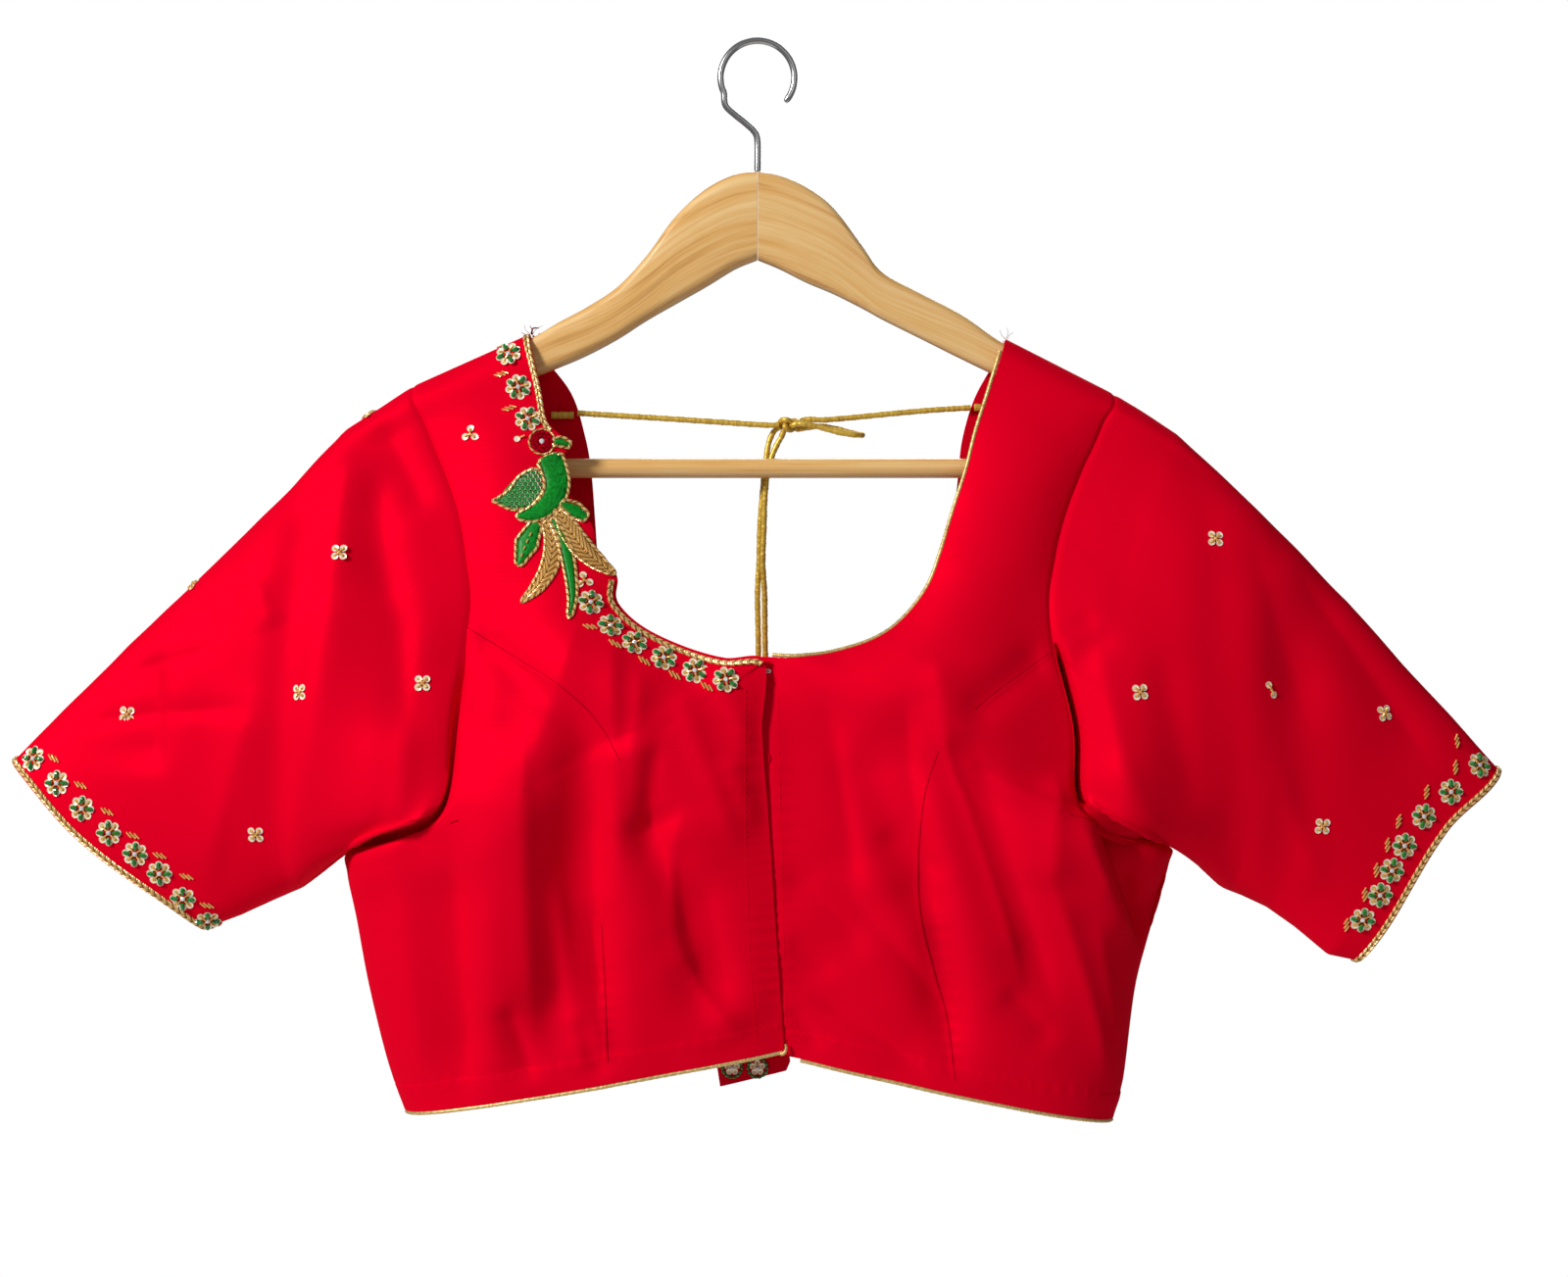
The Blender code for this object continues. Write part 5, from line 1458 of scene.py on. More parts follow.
def outline(pile, surface, line, thick=ZARI_R):
    """Thin twisted zari cord along an x, z line on the cloth."""
    path, ups = surface.lay(even(line, ZARI_GAP), lift=0.50)
    rope(pile, path, ups, (L_ZARI, L_ZARI, L_DARK), thick * 0.9, thick, ZARI_PITCH)


def braid(pile, path, ups, thick):
    """Flat edge cord of two twisted cords side by side."""
    path, ups, _ = respaced(path, ups, ZARI_GAP)
    side, up = across_frames(path, ups)
    for hand in (-1, 1):
        rope(pile, path + side * hand * thick * 1.7, up, (L_ZARI, L_ZARI, L_DARK),
             thick * 0.9, thick, BRAID_PITCH, hand=hand, flat=0.9)


# ---------------------------------------------------------------- places, mm
# Flowers and groups of strokes: x, z and turn in degrees
NECK_FLOWERS = [(-120.4, -152.4, -28), (-115.3, -168.7, 30), (-110.4, -184.4, 20),
                (-78.3, -273, 12), (-68.7, -284, 8), (-57.4, -292, 30),
                (-43.6, -299.2, 40), (-29, -305.2, 34), (-14.4, -309.3, 36)]
NECK_STROKES = [(-125.4, -148, 20), (-123.6, -162.4, 15), (-119.4, -179.2, 12),
                (-78, -284.6, 40), (-66.2, -292.6, 62), (-52.6, -300.6, 66),
                (-38.4, -307.2, 64), (-23.2, -312.6, 60)]
CUFF_FLOWERS_RIGHT = [(-350, -348.2, 3), (-337, -359.6, 0), (-324.2, -371.6, 5),
                      (-311, -383.2, 0), (-298.4, -393.4, 8), (-287, -402.8, 0),
                      (-276.6, -415.2, 5), (-266.4, -426.6, 0)]
CUFF_STROKES_RIGHT = [(-339.2, -347.8, 55), (-325, -360.4, 50), (-311.6, -373, 52),
                      (-299.2, -384.4, 48), (-286.4, -394, 45), (-273.8, -404.2, 45),
                      (-265.4, -418.6, 45)]
CUFF_FLOWERS_LEFT = [(349, -351.4, 10), (333.6, -363.8, 0), (319.9, -375.4, 12),
                     (310.4, -389.4, 4), (304.4, -401.2, 10), (299, -413.1, 0),
                     (291.2, -425.3, 8)]
CUFF_STROKES_LEFT = [(338, -339.6, 125), (336.4, -352.1, 125), (321.4, -363.7, 128),
                     (307.4, -377.6, 130), (302, -388.9, 120), (296.8, -401, 118),
                     (291.6, -412.8, 118), (283.8, -427.8, 120)]
# Scattered motifs: x, z, turn, sequins
BUTTIS_RIGHT = [(-189.3, -181.2, 30, 4), (-197.9, -249.2, 45, 4), (-215.2, -315.3, 40, 4),
                (-157.1, -311, 45, 4), (-238.9, -383.4, 45, 4), (-302.9, -326.4, 50, 4),
                (-273.5, -264.2, 35, 4)]
BUTTIS_LEFT = [(218.7, -242.4, 50, 4), (179.9, -315.2, 40, 4), (243.9, -314.4, 60, 2),
               (301.2, -325.9, 35, 4), (269.8, -379.6, 50, 4)]
BUTTI_FRONT = [(-137.9, -191.8, 90, 3)]
NECK_CLUSTER = [(-81.6, -262.6, 80, 3)]
NECK_SINGLE = (-115.2, -194.4, 25)
# Cuff cord: how far its middle lies in from the cuff's edge
CUFF_CORD_IN = 1.9
NECK_CORD_ENDS = (-262.5, -189.5)      # heights between which the peacock takes its place
NECK_CORD_TOP = 16.7                   # table row at which the neckline's cord ends
# How far the neckline's cord lies in from the edge, by height
NECK_CORD_IN = [(-310, 2.8), (-285, 3.6), (-264, 3.6), (-192, 2), (-150, 1.6)]

# The peacock: spines and half widths of its parts, x z, drawn from the neck down
HEAD = (-103.3, -195.6)
HEAD_R = 6.1
BEAK = [(-98, -196), (-94.4, -195.6), (-90, -197.2)]
BEAK_HALF = [1, 1.5, 0.7]
BREAST = [(-100, -202.2), (-97.6, -208.3), (-95.9, -215.6), (-97.6, -223),
          (-102.4, -228.4), (-107.8, -231.2), (-114, -232)]
BREAST_HALF = [5.4, 5.4, 5.2, 5.2, 4.6, 3.2, 0.8]
WING_BED = [(-123.5, -225.2), (-114.5, -221.6), (-104.9, -216.4)]
WING_BED_HALF = [0.4, 4.6, 7, 7.4, 5]
WING = [(-126, -224.6), (-118.6, -219.6), (-113.8, -212.6), (-106.9, -208.8),
        (-103, -211.4), (-101.6, -217.4), (-103.6, -223.6), (-109, -227.8),
        (-116.6, -228.8)]
LOBE = [(-93.6, -225.6), (-87.4, -228.8), (-81.4, -232.6)]
LOBE_HALF = [1.2, 2.9, 1.4]
LEAF = [(-104.4, -235.2), (-108.6, -244), (-112.6, -255.4)]
LEAF_HALF = [2, 4.6, 0.8]
PLUME_ONE = [(-100.4, -234.4), (-97.2, -244.2), (-98, -255.6), (-103.2, -265.4),
             (-110.6, -272.8)]
PLUME_ONE_HALF = [1.6, 3.2, 3.7, 2.8, 0.5]
BLADE = [(-97.4, -233), (-91.8, -244.4), (-88.4, -257.6), (-86.8, -270.4), (-87.8, -280.4)]
BLADE_HALF = [0.9, 2.1, 2, 1.4, 0.3]
PLUME_TWO = [(-94.4, -229.4), (-88.8, -239.4), (-81.8, -248.4), (-74.4, -254.8),
             (-67.6, -259.4)]
PLUME_TWO_HALF = [2, 4.4, 4.6, 3.4, 0.8]
# Parts in green satin: spine, half widths, rise, and room to the outline
SATIN = [(BREAST, BREAST_HALF, 1.3, 0.6), (BEAK, BEAK_HALF, 0.9, 0.8),
         (LOBE, LOBE_HALF, 1.1, 0.9), (LEAF, LEAF_HALF, 1, 0.8), (BLADE, BLADE_HALF, 0.9, 0.8)]
# Bead rings of the head: radius, number, size
HEAD_RINGS = ((4.6, 13, 1), (2.8, 9, 0.95))
OUTLINE_STEPS = 26


def around_leaf(spine, half, grow):
    """Outline of a leaf from its spine and half widths, a little outside."""
    line = even(spine, 0.3)
    line = at_lengths(np.linspace(0, 1, OUTLINE_STEPS), np.linspace(0, 1, len(line)), line)
    w = spread(half, OUTLINE_STEPS) + grow
    w[[0, -1]] *= 0.35
    _, side = line_sides(line)
    return np.vstack([line + side * w[:, None], (line - side * w[:, None])[::-1],
                      (line + side * w[:, None])[:1]])


def inside(poly, x, z):
    """Whether a point lies in a closed polygon."""
    hit = False
    for (xa, za), (xb, zb) in zip(poly, np.roll(poly, -1, axis=0)):
        if (za > z) != (zb > z) and x < (xb - xa) * (z - za) / (zb - za) + xa:
            hit = not hit
    return hit


def build_peacock(cloth):
    """The bird at the neckline: satin, feathers, a sequined wing and a beaded head."""
    pile = Pile()
    for spine, half, rise, _ in SATIN:
        leaf(pile, cloth, spine, half, L_SATIN, rise)
    for spine, half in ((PLUME_ONE, PLUME_ONE_HALF), (PLUME_TWO, PLUME_TWO_HALF)):
        feather(pile, cloth, spine, half)
        outline(pile, cloth, around_leaf(spine, half, 0.2))
    for spine, half, _, grow in SATIN:
        outline(pile, cloth, around_leaf(spine, half, grow))
    # short coils down the middle of the leaf
    line = even(LEAF, 0.5)
    for k in (np.linspace(0.25, 0.72, 4) * len(line)).astype(int):
        (pa, na), (pb, _) = cloth.at(*line[k], lift=1.45), cloth.at(*line[k + 4], lift=1.45)
        rod(pile, pa, pb, na, 0.42, L_BULLION, coils=4)
    # the wing: rows of green sequins in a gold outline
    wing = even(WING + WING[:1], 1.0)
    leaf(pile, cloth, WING_BED, WING_BED_HALF, L_SATIN, 0.2)
    for i, z in enumerate(np.arange(-228.0, -208.5, 1.9)):
        for x in np.arange(-125.0, -101.0, 2.4) + (1.2 if i % 2 else 0.0):
            if inside(wing, x, z) and np.abs(np.hypot(*(wing - (x, z)).T)).min() > 0.9:
                p, n = cloth.at(x, z, lift=0.4)
                # pale rims paint the highlight on the green sequins
                disc(pile, p, unit(n + np.array([0.25, 0, 0.35])), 1.35, L_SEQUIN_HIGHLIGHT,
                     L_GREEN_SEQUIN, eye=0.86, spin=i + x)
    outline(pile, cloth, np.vstack([wing, wing[:1]]))
    # the head: a red bead flower with a crystal, ringed in gold
    p, n = cloth.at(*HEAD)
    around = np.linspace(0, 2 * math.pi, 20)
    ring = np.array(HEAD) + HEAD_R * np.stack([np.cos(around), np.sin(around)], axis=1)
    outline(pile, cloth, ring, thick=0.26)
    for far, number, size in HEAD_RINGS:
        for _, d, e in spokes(n, number, far):
            c = p + d * far + n * (0.7 + 0.2 * (far < 3))
            reach = e * 0.9 + d * 0.3
            rod(pile, c - reach, c + reach, n, size * 0.75, L_RED)
    gem(pile, p + n * 0.9, n, 1.3, L_CRYSTAL)
    pile.build("peacock_embroidery", EMBROIDERY, 40)


def build_neck_embroidery(cloth, panel):
    """Flowers and strokes along the neckline with a double zari cord."""
    pile = Pile()
    scatter(pile, flower, cloth, NECK_FLOWERS)
    scatter(pile, strokes, cloth, NECK_STROKES)
    scatter(pile, butti, cloth, NECK_CLUSTER)
    x, z, turn = NECK_SINGLE
    p, n = cloth.at(x, z)
    # a whole sequin in the pale colour that paints its highlight
    disc(pile, p + n * 0.1, n, 1.5, L_SEQUIN_HIGHLIGHT)
    d = np.array([math.cos(math.radians(turn)), 0.0, math.sin(math.radians(turn))])
    rod(pile, p + d * 1.2 + n * 0.4, p + d * 4.2 + n * 0.4, n, 0.42, L_BULLION, coils=5)
    # the cord lies above and below the peacock
    path, norm, out = edge_path(panel, "inner")
    z, marks = path[:, 2], panel[2]
    inset = np.interp(z, *zip(*NECK_CORD_IN))[:, None]
    line = path + norm * (CLOTH / 2 + 0.35) - out * inset
    for rows in ((marks > NECK_ROW + 0.05) & (z < NECK_CORD_ENDS[0]),
                 (z > NECK_CORD_ENDS[1]) & (marks < NECK_CORD_TOP)):
        braid(pile, line[rows], norm[rows], ZARI_R)
    pile.build("neck_embroidery", EMBROIDERY, 40)


def build_cuff(key, grid, normals, cloth, flowers, groups):
    """Border of a cuff: cord at the edge, flowers and strokes on both faces."""
    pile = Pile()
    for front in (True, False):
        scatter(pile, flower, cloth, flowers, front)
        scatter(pile, strokes, cloth, groups, front)
    edge, norm = grid[-1], normals[-1]
    line = edge + unit(grid[-6] - edge) * CUFF_CORD_IN + norm * 0.35
    braid(pile, np.vstack([line, line[:1]]), np.vstack([norm, norm[:1]]), 0.44)
    pile.build("cuff_embroidery_" + key, EMBROIDERY, 40)


def build_buttis(name, cloth, spots, faces=(True, False)):
    """Scattered motifs on the front of a piece, and on its back too."""
    pile = Pile()
    for front in faces:
        scatter(pile, butti, cloth, spots, front)
    pile.build(name, EMBROIDERY, 40)


def build_embroidery(fronts, sleeves):
    panel = fronts["front_right"]
    cloth = Surface(*panel[:2])
    build_peacock(cloth)
    build_neck_embroidery(cloth, panel)
    build_buttis("butti_front", cloth, BUTTI_FRONT, (True,))
    for key, flowers, groups, spots in (
            ("right", CUFF_FLOWERS_RIGHT, CUFF_STROKES_RIGHT, BUTTIS_RIGHT),
            ("left", CUFF_FLOWERS_LEFT, CUFF_STROKES_LEFT, BUTTIS_LEFT)):
        grid, normals = sleeves[key]
        arm = Surface(grid, normals, around=True)
        build_cuff(key, grid, normals, arm, flowers, groups)
        build_buttis("buttis_sleeve_" + key, arm, spots)


# ---------------------------------------------------------------- seams
# Darts, x z points from the seam or hem to the point of the dart
DARTS_FRONT_RIGHT = [[(-137.5, -284.5), (-111.4, -299.9), (-89.4, -313.5), (-73.7, -329),
                      (-61.7, -349.4)],
                     [(-70, -489.8), (-71.2, -455), (-73, -420.6)]]
DARTS_FRONT_LEFT = [[(139.4, -296.4), (117.7, -311.3), (99.3, -324.8)],
                    [(93.9, -499), (90.1, -468.7), (83.9, -446.9), (76.7, -414.7),
                     (77.9, -368.4), (85.8, -339)]]
DARTS_BACK = [[(-70, -486), (-74, -420), (-80, -350)],
              [(72, -486), (76, -420), (82, -350)]]
# Stitching of the opening's facings on the lapping front and on the one below it
FACING_RIGHT = [(0.2, -482), (-3, -440), (-4.6, -400), (-5.4, -350), (-5, -312)]
FACING_LEFT = [(14.3, -484.3), (13, -440), (12, -400), (10.9, -360), (10.1, -318.3)]
# Section of a dart's fold: distance from its line and height over the cloth
DART_SHAPE = [(-4.6, -0.25), (-2.2, 0.06), (-1, 0.2), (-0.4, 0.24), (-0.05, -0.12),
              (0.4, 0.03), (1.8, -0.25)]
STITCH, STITCH_GAP, STITCH_R = 2.2, 0.8, 0.15
# Run and rise of one stitch, as shares of its length and of its thread's radius
STITCH_RUN, STITCH_RISE = (0, 0.15, 0.5, 0.85, 1), (-1, 0.2, 0.45, 0.2, -1)
SHADE_LINE_R = 0.16            # radius of a dark red thread laid along a dart's line, a painted shade line for its fold
# Bend of the metal hook: across and up
HOOK_BEND = [(-1.6, 0.55), (0.2, 0.6), (0.9, 0.45), (1.15, 0), (0.9, -0.45), (0.2, -0.6),
             (-1.6, -0.55)]
SEWING = [RED, RED_THREAD, DARK_RED, STEEL]
# Hooks of the opening: x, z
HOOKS = [(5.6, -305.4)]
EYES = [(5.8, -346)]
EYE_SHAPE = [(-0.3, 2.8, 0.2), (0.2, 0, 0.9), (-0.1, -3, 0.2)]      # across, up, out
# Loose threads at the neck points, columns xa za xb zb bow size
THREADS = [(-110.8, -141.6, -113.6, -137.2, 0.8, 0.12), (-110.4, -141.4, -110.9, -137.6, -0.7, 0.3),
           (-110, -141.8, -106.6, -138.8, 1.4, 0.5), (-109.6, -142.6, -106.2, -141.4, -1.2, 0.5),
           (-109.8, -142.2, -104.4, -137.6, 0.8, 0.12), (-111.4, -142, -115, -140.8, 0.5, 0.2),
           (120.6, -144, 118.2, -139.8, 0.7, 0.14), (121, -143.8, 121.6, -138.6, -0.8, 0.12),
           (121.6, -144.2, 124.8, -141, 0.6, 0.14), (120, -145, 116.6, -147.2, 0.6, 0.16),
           (120.6, -146, 118.6, -151, -0.6, 0.18)]
# Joins across the hem piping, and its end that curls up at the opening: x, y, z
PIPING_JOINS = (-123.6, -5.2)
PIPING_CURL = [(11.4, -32.4, -486.7), (12.8, -32.8, -486.2), (13.7, -33, -484.8),
               (13.9, -33, -483.2), (13.5, -33, -482)]


def fold_strip(pile, surface, line, hand, front=True):
    """Folded edge of a dart, a narrow strip of cloth that lies on the panel, with a dark red thread
    along its line that paints the shade of the fold.
    """
    flat = even(line, 1.1)
    count = len(flat)
    t = np.arange(count) / (count - 1)
    ends = smooth(0.0, 0.04, t) * (1.0 - smooth(0.75, 1.0, t))
    verts, norms = [], []
    for p, e, full in zip(flat, line_sides(flat)[1] * hand, ends):
        for off, high in DART_SHAPE:
            point, normal = surface.at(*(p + e * off), front)
            lift = high if high < 0 else high * full - 0.12 * (1 - full)
            verts.append(point + normal * lift)
            norms.append(normal)
    verts = np.array(verts)
    faces = turned_out(grid_faces(count, len(DART_SHAPE)), verts, np.array(norms))
    pile.add(verts, faces, 0, weave_of(verts))
    # a dark red thread along the dart's line paints the shade of its fold
    shade_line, ups = surface.lay(flat[:-3], front, 0.06)
    tube(pile, shade_line, SHADE_LINE_R, 5, ups=ups, look=SEWING.index(DARK_RED))


def stitches(pile, path, ups):
    """Row of machine stitches along a path on the cloth."""
    run = lengths(path)
    ups = unit(ups)
    for s in np.arange(0.3, run[-1] - STITCH, STITCH + STITCH_GAP):
        at = s + STITCH * np.array(STITCH_RUN)
        norm = at_lengths(at, run, ups)
        line = at_lengths(at, run, path) + norm * (STITCH_R * np.array(STITCH_RISE))[:, None]
        tube(pile, line, STITCH_R, 5, ups=norm, look=SEWING.index(RED_THREAD))


def hem_stitches(pile, panel):
    """Stitches at an equal distance up every column of a panel."""
    both = np.stack(panel[:2])
    up = grown(panel[0], 0)
    rows = []
    for j in range(2, both.shape[2] - 2):
        k = int(np.searchsorted(up[:, j], HEM_TURN))
        t = (HEM_TURN - up[k - 1, j]) / (up[k, j] - up[k - 1, j])
        rows.append(both[:, k - 1, j] * (1 - t) + both[:, k, j] * t)
    stitches(pile, *np.stack(rows, axis=1))


def build_hooks(pile, surface):
    """Metal hook and a thread loop that peep out beside the lapping edge."""
    for x, z in HOOKS:
        point, n = surface.at(x, z, lift=1.1)
        side, up = tangents(n)
        across = math.copysign(1.0, side[0])
        path = even([point + side * a * across + up * b for a, b in HOOK_BEND], 0.3)
        tube(pile, path, 0.42, 8, look=SEWING.index(STEEL))
    for x, z in EYES:
        ends = [surface.at(x + dx, z + dz, lift=lift)[0] for dx, dz, lift in EYE_SHAPE]
        tube(pile, even(ends, 0.4), 0.24, 6, look=SEWING.index(RED_THREAD))


def build_threads():
    """Frayed ends of the cloth at the two neck points."""
    pile = Pile()
    for xa, za, xb, zb, bow, size in THREADS:
        long = math.hypot(xb - xa, zb - za)
        mid = ((xa + xb) / 2 - (zb - za) / long * bow, (za + zb) / 2 + (xb - xa) / long * bow)
        path = even([(xa, -1.0, za), (mid[0], -1.6 - bow, mid[1]), (xb, -1.2, zb)], 0.5)
        tube(pile, path, np.linspace(size, size * 0.6, len(path)), 5)
    pile.build("neck_point_threads", [FRAY], 60)


def build_seams(fronts, backs):
    for key, darts, facing, hands in (
            ("front_right", DARTS_FRONT_RIGHT, FACING_RIGHT, (1, -1)),
            ("front_left", DARTS_FRONT_LEFT, FACING_LEFT, (-1, -1))):
        cloth = Surface(*fronts[key][:2])
        pile = Pile()
        for line, hand in zip(darts, hands):
            fold_strip(pile, cloth, line, hand)
        stitches(pile, *cloth.lay(even(facing, 0.5), lift=0.05))
        hem_stitches(pile, fronts[key])
        if key == "front_left":
            build_hooks(pile, cloth)
        pile.build("sewing_" + key, SEWING, 60)
    pile = Pile()
    for key, line in zip(("back_right", "back_left"), DARTS_BACK):
        fold_strip(pile, Surface(*backs[key][:2]), line, -1, front=False)
        hem_stitches(pile, backs[key])
    pile.build("sewing_back", SEWING[:3], 60)
    build_threads()


def weave_of(grid, turn=0.0):
    """Cloth coordinates: the warp runs down the piece, turned by an angle."""
    c, s = math.cos(turn), math.sin(turn)
    x, z = grid[..., 0], grid[..., 2]
    return np.stack([c * x - s * z, s * x + c * z, np.zeros_like(x)], axis=-1)


def build_cloth(name, node, outer, normals, faces, weave):
    """Closed thin shell of silk: the outer sheet, the inner one and the rim."""
    outer, normals, weave = (np.reshape(a, (-1, 3)) for a in (outer, normals, weave))
    faces = two_sided(turned_out(faces, outer, normals), len(outer))
    pile = Pile()
    pile.add(np.vstack([outer, outer - normals * SHELL]), faces, 0, np.vstack([weave, weave]))
    piece = pile.build(name, [RED], 60)
    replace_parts(piece, node)


def build_fronts(p):
    out = {}
    for key, creases, gathers, lap, dip_low in (
            ("front_right", CREASES_FRONT_RIGHT, GATHERS_FRONT_RIGHT, 1.0, 1.6),
            ("front_left", CREASES_FRONT_LEFT, GATHERS_FRONT_LEFT, -1.0, 0.0)):
        panel = p[key]
        if lap > 0:
            panel = (evened(panel[0], EVEN_FRONT_RIGHT),) + panel[1:]
        out[key] = relief(finer(panel), creases, gathers, lap, dip_low)
        grid, normals = out[key][:2]
        build_cloth(key + "_cloth", key + "_panel", grid, normals,
                    grid_faces(*grid.shape[:2]), weave_of(grid))
    return out


def build_back(p):
    """The back is one piece: its halves share the centre line below the neck."""
    right = relief(p["back_right"], CREASES_BACK_RIGHT)
    left = relief(p["back_left"], CREASES_BACK_LEFT)
    (gr, nr, marks), (gl, nl) = right[:3], left[:2]
    rows, cols = gr.shape[:2]
    verts, norms, index = list(gr.reshape(-1, 3)), list(nr.reshape(-1, 3)), {}
    for i in range(rows):
        for j in range(cols):
            if j == 0 and marks[i] <= NECK_ROW + 1e-9:
                index[i, j] = i * cols
                norms[i * cols] = unit(nr[i, 0] + nl[i, 0])
                verts[i * cols] = (gr[i, 0] + gl[i, 0]) / 2
            else:
                index[i, j] = len(verts)
                verts.append(gl[i, j])
                norms.append(nl[i, j])
    faces = grid_faces(rows, cols)
    faces += [(index[i, j + 1], index[i, j], index[i + 1, j], index[i + 1, j + 1])
              for i in range(rows - 1) for j in range(cols - 1)]
    verts = np.array(verts)
    build_cloth("back_cloth", "back_panel", verts, norms, faces, weave_of(verts))
    return {"back_right": right, "back_left": left}


SLEEVE_SECTIONS = 80     # fine sections along a sleeve
ARM_TURN = {"right": math.radians(-43), "left": math.radians(43)}


def sleeve_relief(grid, creases, gap, lip, hole):
    """Sleeve points with fine creases, unevenness and a dipped armhole seam."""
    n = ring_normals(grid)
    x, y, z = grid[:, :, 0], grid[:, :, 1], grid[:, :, 2]
    share = np.linspace(0, 1, len(grid))[:, None]
    calm = smooth(*SLEEVE_CALM, share)
    depth = np.where(n[:, :, 1] < 0, 1.0, SLEEVE_BACK) * crease_depth(x, z, creases)
    depth = DRAPE * depth * calm + RIPPLE * ripple(x + 40, z * 1.1) * calm
    run = np.linalg.norm(grid - grid[:1], axis=2)
    depth = depth + SEAM_DIP * np.exp(-(run / DIP_WIDE) ** 2)
    high, low, wide, deep, under = gap
    there = (smooth(-high, -high + GAP_ENDS, -z[:1])
             * (1.0 - smooth(-low - GAP_ENDS, -low, -z[:1])))
    there = there * (y[:1] < -5)
    valley = smooth(0.0, 1.2, run) * (1.0 - smooth(wide, wide * 1.5, run))
    moved = grid - n * depth[:, :, None]
    moved[:, :, 0] += np.sign(x) * under * there * valley
    moved[:, :, 1] += deep * there * valley
    # its fold over the front, from the armhole's middle to the underarm
    norm, way = hole[1:3]
    front = smooth(*LIP_DEPTH, -y[:1])
    over, lift = (np.interp(z[0], *np.array(lip)[:, [0, k]].T)[None, :] * front for k in (1, 2))
    out = over * smooth(0.3, 3.0, run) * (1.0 - smooth(*LIP_FADE, run))
    up = lift * smooth(0.0, 2.4, run) * (1.0 - smooth(3.0, 20.0, run))
    moved = moved - out[:, :, None] * way + up[:, :, None] * norm
    return moved, ring_normals(moved)


TUCK = (1.6, 1.25 * CLOTH)       # how far a sleeve's seam runs in under the panel, mm


def build_sleeve(key, table, p, folds, creases, side):
    steps = np.linspace(0, 1, SLEEVE_SECTIONS) ** 1.15
    hole = armhole(p["front_" + key], p["back_" + key])
    grid = sleeve_surface(table, hole, folds, CUFF_BOW[key], side, steps)
    grid, normals = sleeve_relief(grid, creases, SLEEVE_GAP[key], LIP[key], hole)
    # the seam allowance runs in under the panels
    ring, norm, way = hole[:3]
    grid = np.vstack([(ring - way * TUCK[0] - norm * TUCK[1])[None], grid])
    normals = np.vstack([norm[None], normals])
    weave = weave_of(grid, ARM_TURN[key])
    build_cloth("sleeve_%s_cloth" % key, "sleeve_" + key, grid, normals,
                grid_faces(*grid.shape[:2], around=True), weave)
    return grid, normals


# ---------------------------------------------------------------- trims
PIPING_GAP, PIPING_SIDES = 0.9, 10


def edge_path(panel, which, rows=slice(None)):
    """Points along an edge of a wall, half in from its face, normals and ways out."""
    grid, normals = panel[:2]
    if which == "inner":
        grid, normals = grid.swapaxes(0, 1), normals.swapaxes(0, 1)
    line, norm = grid[0], normals[0]
    out = unit(np.cross(np.gradient(line, axis=0), norm))
    out = out * np.sign(((line - grid[1]) * out).sum(axis=1))[:, None]
    return (line - norm * CLOTH / 2)[rows], norm[rows], out[rows]


def piping(node, path, norm, out, joins=(), curl=()):
    """Thin piping of gold cloth along an edge."""
    path, ups, run = respaced(path + out * (PIPE / 2 + 0.1), norm, PIPING_GAP)
    pile = Pile()
    size = PIPE / 2 * (1.0 + 0.05 * np.sin(run * 1.7) + 0.03 * np.sin(run * 3.9))
    tube(pile, path, size, PIPING_SIDES, ups=ups, twist=0.9, lobes=0.04)
    around = np.linspace(0, 2 * math.pi, 25)
    c, s = np.cos(around), np.sin(around)
    for x in joins:
        k = int(np.abs(path[:, 0] - x).argmin())
        way = path[k + 1] - path[k - 1]
        ring = (path[k] + (PIPE / 2 + 0.02) * (np.outer(c, unit(np.cross(way, ups[k])))
                                               + np.outer(s, ups[k])))
        tube(pile, ring + np.outer(c * 0.6, unit(way)), 0.16, 5, look=1)
    if curl:
        path = even(curl, 0.5)
        tube(pile, path, np.linspace(PIPE / 2, PIPE * 0.28, len(path)), PIPING_SIDES)
    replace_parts(pile.build(node + "_cloth", [PIPING, BULLION], 70), node)


def build_pipings(fronts, backs):
    for key, node, start, extra in (
            ("front_right", "hem_piping_right", 2, (PIPING_JOINS, PIPING_CURL)),
            ("front_left", "hem_piping_left", 14, ())):
        piping(node, *(part[start:-3] for part in edge_path(fronts[key], "hem")), *extra)
    halves = zip(edge_path(backs["back_right"], "hem"), edge_path(backs["back_left"], "hem"))
    piping("hem_piping_back", *(np.vstack([a[3:-3][::-1], b[:-3]]) for a, b in halves))
    grid, _, marks, _ = fronts["front_left"]
    rows = ((grid[:, 0, 0] > NECK_PIPE_FROM) & (marks >= NECK_ROW) & (marks <= NECK_PIPE_TOP))
    piping("neck_piping_left", *edge_path(fronts["front_left"], "inner", rows))


# ---------------------------------------------------------------- hanger
ARM_SOFT, ARM_SIDES = 12, 40     # stations of an arm that are joined smoothly, points around
LEFT_GRAIN = 300                 # where the left arm is cut from the same board


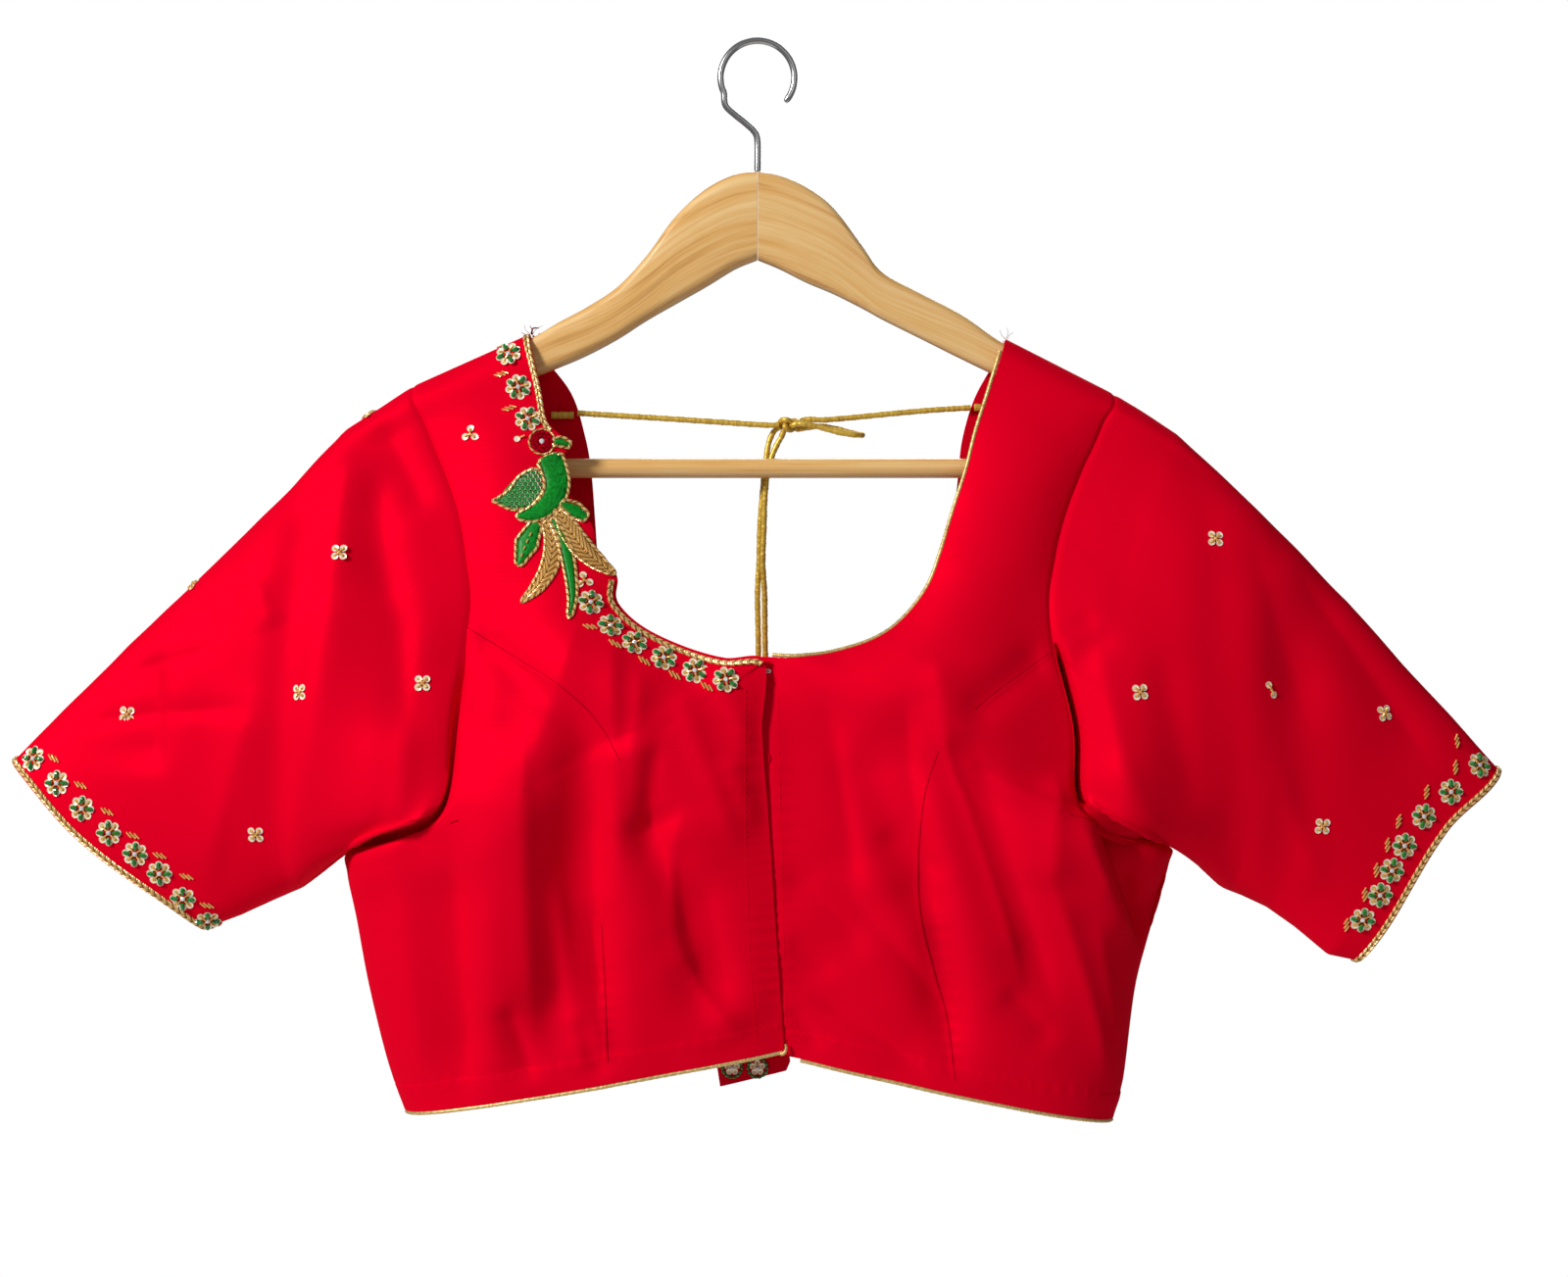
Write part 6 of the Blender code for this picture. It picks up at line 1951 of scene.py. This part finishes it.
def build_arm(key, table):
    """Arm of the hanger with rounded edges through its stations."""
    rows = np.vstack([along(table[:ARM_SOFT], 2.0), table[ARM_SOFT:]])
    around = np.linspace(0, 2 * math.pi, ARM_SIDES, endpoint=False)
    c, s = np.cos(around), np.sin(around)
    round_c = np.sign(c) * np.abs(c) ** 0.72
    verts = []
    for x, top, bottom, half in rows:
        mid, tall = (top + bottom) / 2, (top - bottom) / 2
        edge = min(half, tall)
        rise = (tall - edge) * np.sign(s) * (np.abs(s) > 1e-6)
        verts.append(np.stack([np.full_like(c, x), half * round_c, mid + rise + edge * s],
                              axis=1))
    verts = np.array(verts)
    mids = (rows[:, 1] + rows[:, 2]) / 2
    run = lengths(np.stack([rows[:, 0], mids], axis=1))
    weave = np.zeros_like(verts)
    weave[:, :, 0] = run[:, None] + (LEFT_GRAIN if key == "left" else 0)
    weave[:, :, 1] = verts[:, :, 2] - mids[:, None] * 0.82
    weave[:, :, 2] = verts[:, :, 1]
    pile = Pile()
    pile.add(verts, tube_faces(len(rows), ARM_SIDES, key == "right"), 0, weave)
    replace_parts(pile.build("hanger_arm_" + key, [WOOD], 40), "hanger_yoke_" + key)


BAR_HALF = 195.1         # half length of the rod between the arms


def build_hanger():
    build_arm("right", ARM_RIGHT)
    build_arm("left", ARM_LEFT)
    pile = Pile()
    path = np.array([(x, 0.0, BAR_Z) for x in np.arange(-BAR_HALF, BAR_HALF + 0.1, 2.0)])
    tube(pile, path, BAR_D / 2, 32, ups=np.tile(UP, (len(path), 1)))
    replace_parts(pile.build("hanger_rod", [WOOD], 40), "hanger_bar")
    centre = HOOK_D / 2 - HOOK_R
    around = np.radians(np.arange(205, -45, -6))
    crook = zip(HOOK_R * np.cos(around), centre + HOOK_R * np.sin(around))
    path = even([(x, 0.0, z) for x, z in HOOK_STEM + list(crook)], 1.2)
    pile = Pile()
    size = np.full(len(path), HOOK_D / 2)
    size[-1], size[-2] = HOOK_D * 0.3, HOOK_D * 0.46
    tube(pile, path, size, 20)
    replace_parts(pile.build("hanger_wire", [CHROME], 50), "hanger_hook")


# ---------------------------------------------------------------- light, stage
FLOOR_SIZE, FLOOR_Z = 1.6, -0.95


def build_stage():
    bpy.ops.mesh.primitive_plane_add(size=FLOOR_SIZE, location=(0.0, 0.0, FLOOR_Z))
    floor = bpy.context.active_object
    floor.name = "floor"
    look = Look("pale_floor", Base_Color=(0.86, 0.86, 0.85, 1), Roughness=0.9)
    floor.data.materials.append(look.mat)


# Area lights, columns name place aim size power
LIGHTS = [("key", (-2.15, -1.90, 1.10), (0.0, 0.0, -0.34), 0.60, 94.0),
          ("fill", (0.7, -1.9, 0.5), (0.0, 0.0, -0.30), 1.2, 3.0),
          ("back", (0.3, 1.4, 0.7), (0.0, 0.0, -0.30), 1.0, 9.0)]
WORLD_LIGHT = 0.18       # strength of the white world as a light; it shows as white


def build_lights():
    world = bpy.data.worlds.new("studio")
    bpy.context.scene.world = world
    world.use_nodes = True
    tree = world.node_tree
    back = tree.nodes["Background"]
    back.inputs["Color"].default_value = (1.0, 1.0, 1.0, 1.0)
    seen = tree.nodes.new("ShaderNodeLightPath")
    level = tree.nodes.new("ShaderNodeMapRange")
    level.inputs["To Min"].default_value = WORLD_LIGHT
    level.inputs["To Max"].default_value = 1.0
    tree.links.new(seen.outputs["Is Camera Ray"], level.inputs["Value"])
    tree.links.new(level.outputs["Result"], back.inputs["Strength"])
    for name, place, aim, size, power in LIGHTS:
        data = bpy.data.lights.new(name, 'AREA')
        data.size = size
        data.energy = power
        lamp = bpy.data.objects.new(name, data)
        bpy.context.scene.collection.objects.link(lamp)
        lamp.location = place
        lamp.rotation_euler = (Vector(aim) - Vector(place)).to_track_quat('-Z', 'Y').to_euler()
    bpy.context.scene.view_settings.view_transform = 'Standard'


# ---------------------------------------------------------------- build
build_cords()
build_knot()
build_ends()
PANELS = panels()
FRONTS = build_fronts(PANELS)
BACKS = build_back(PANELS)
SLEEVES = {"right": build_sleeve("right", SLEEVE_RIGHT, PANELS, SLEEVE_FOLDS_RIGHT,
                                 CREASES_SLEEVE_RIGHT, -1),
           "left": build_sleeve("left", SLEEVE_LEFT, PANELS, SLEEVE_FOLDS_LEFT,
                                CREASES_SLEEVE_LEFT, 1)}
build_pipings(FRONTS, BACKS)
build_seams(FRONTS, BACKS)
build_embroidery(FRONTS, SLEEVES)
build_hanger()
build_stage()
build_lights()
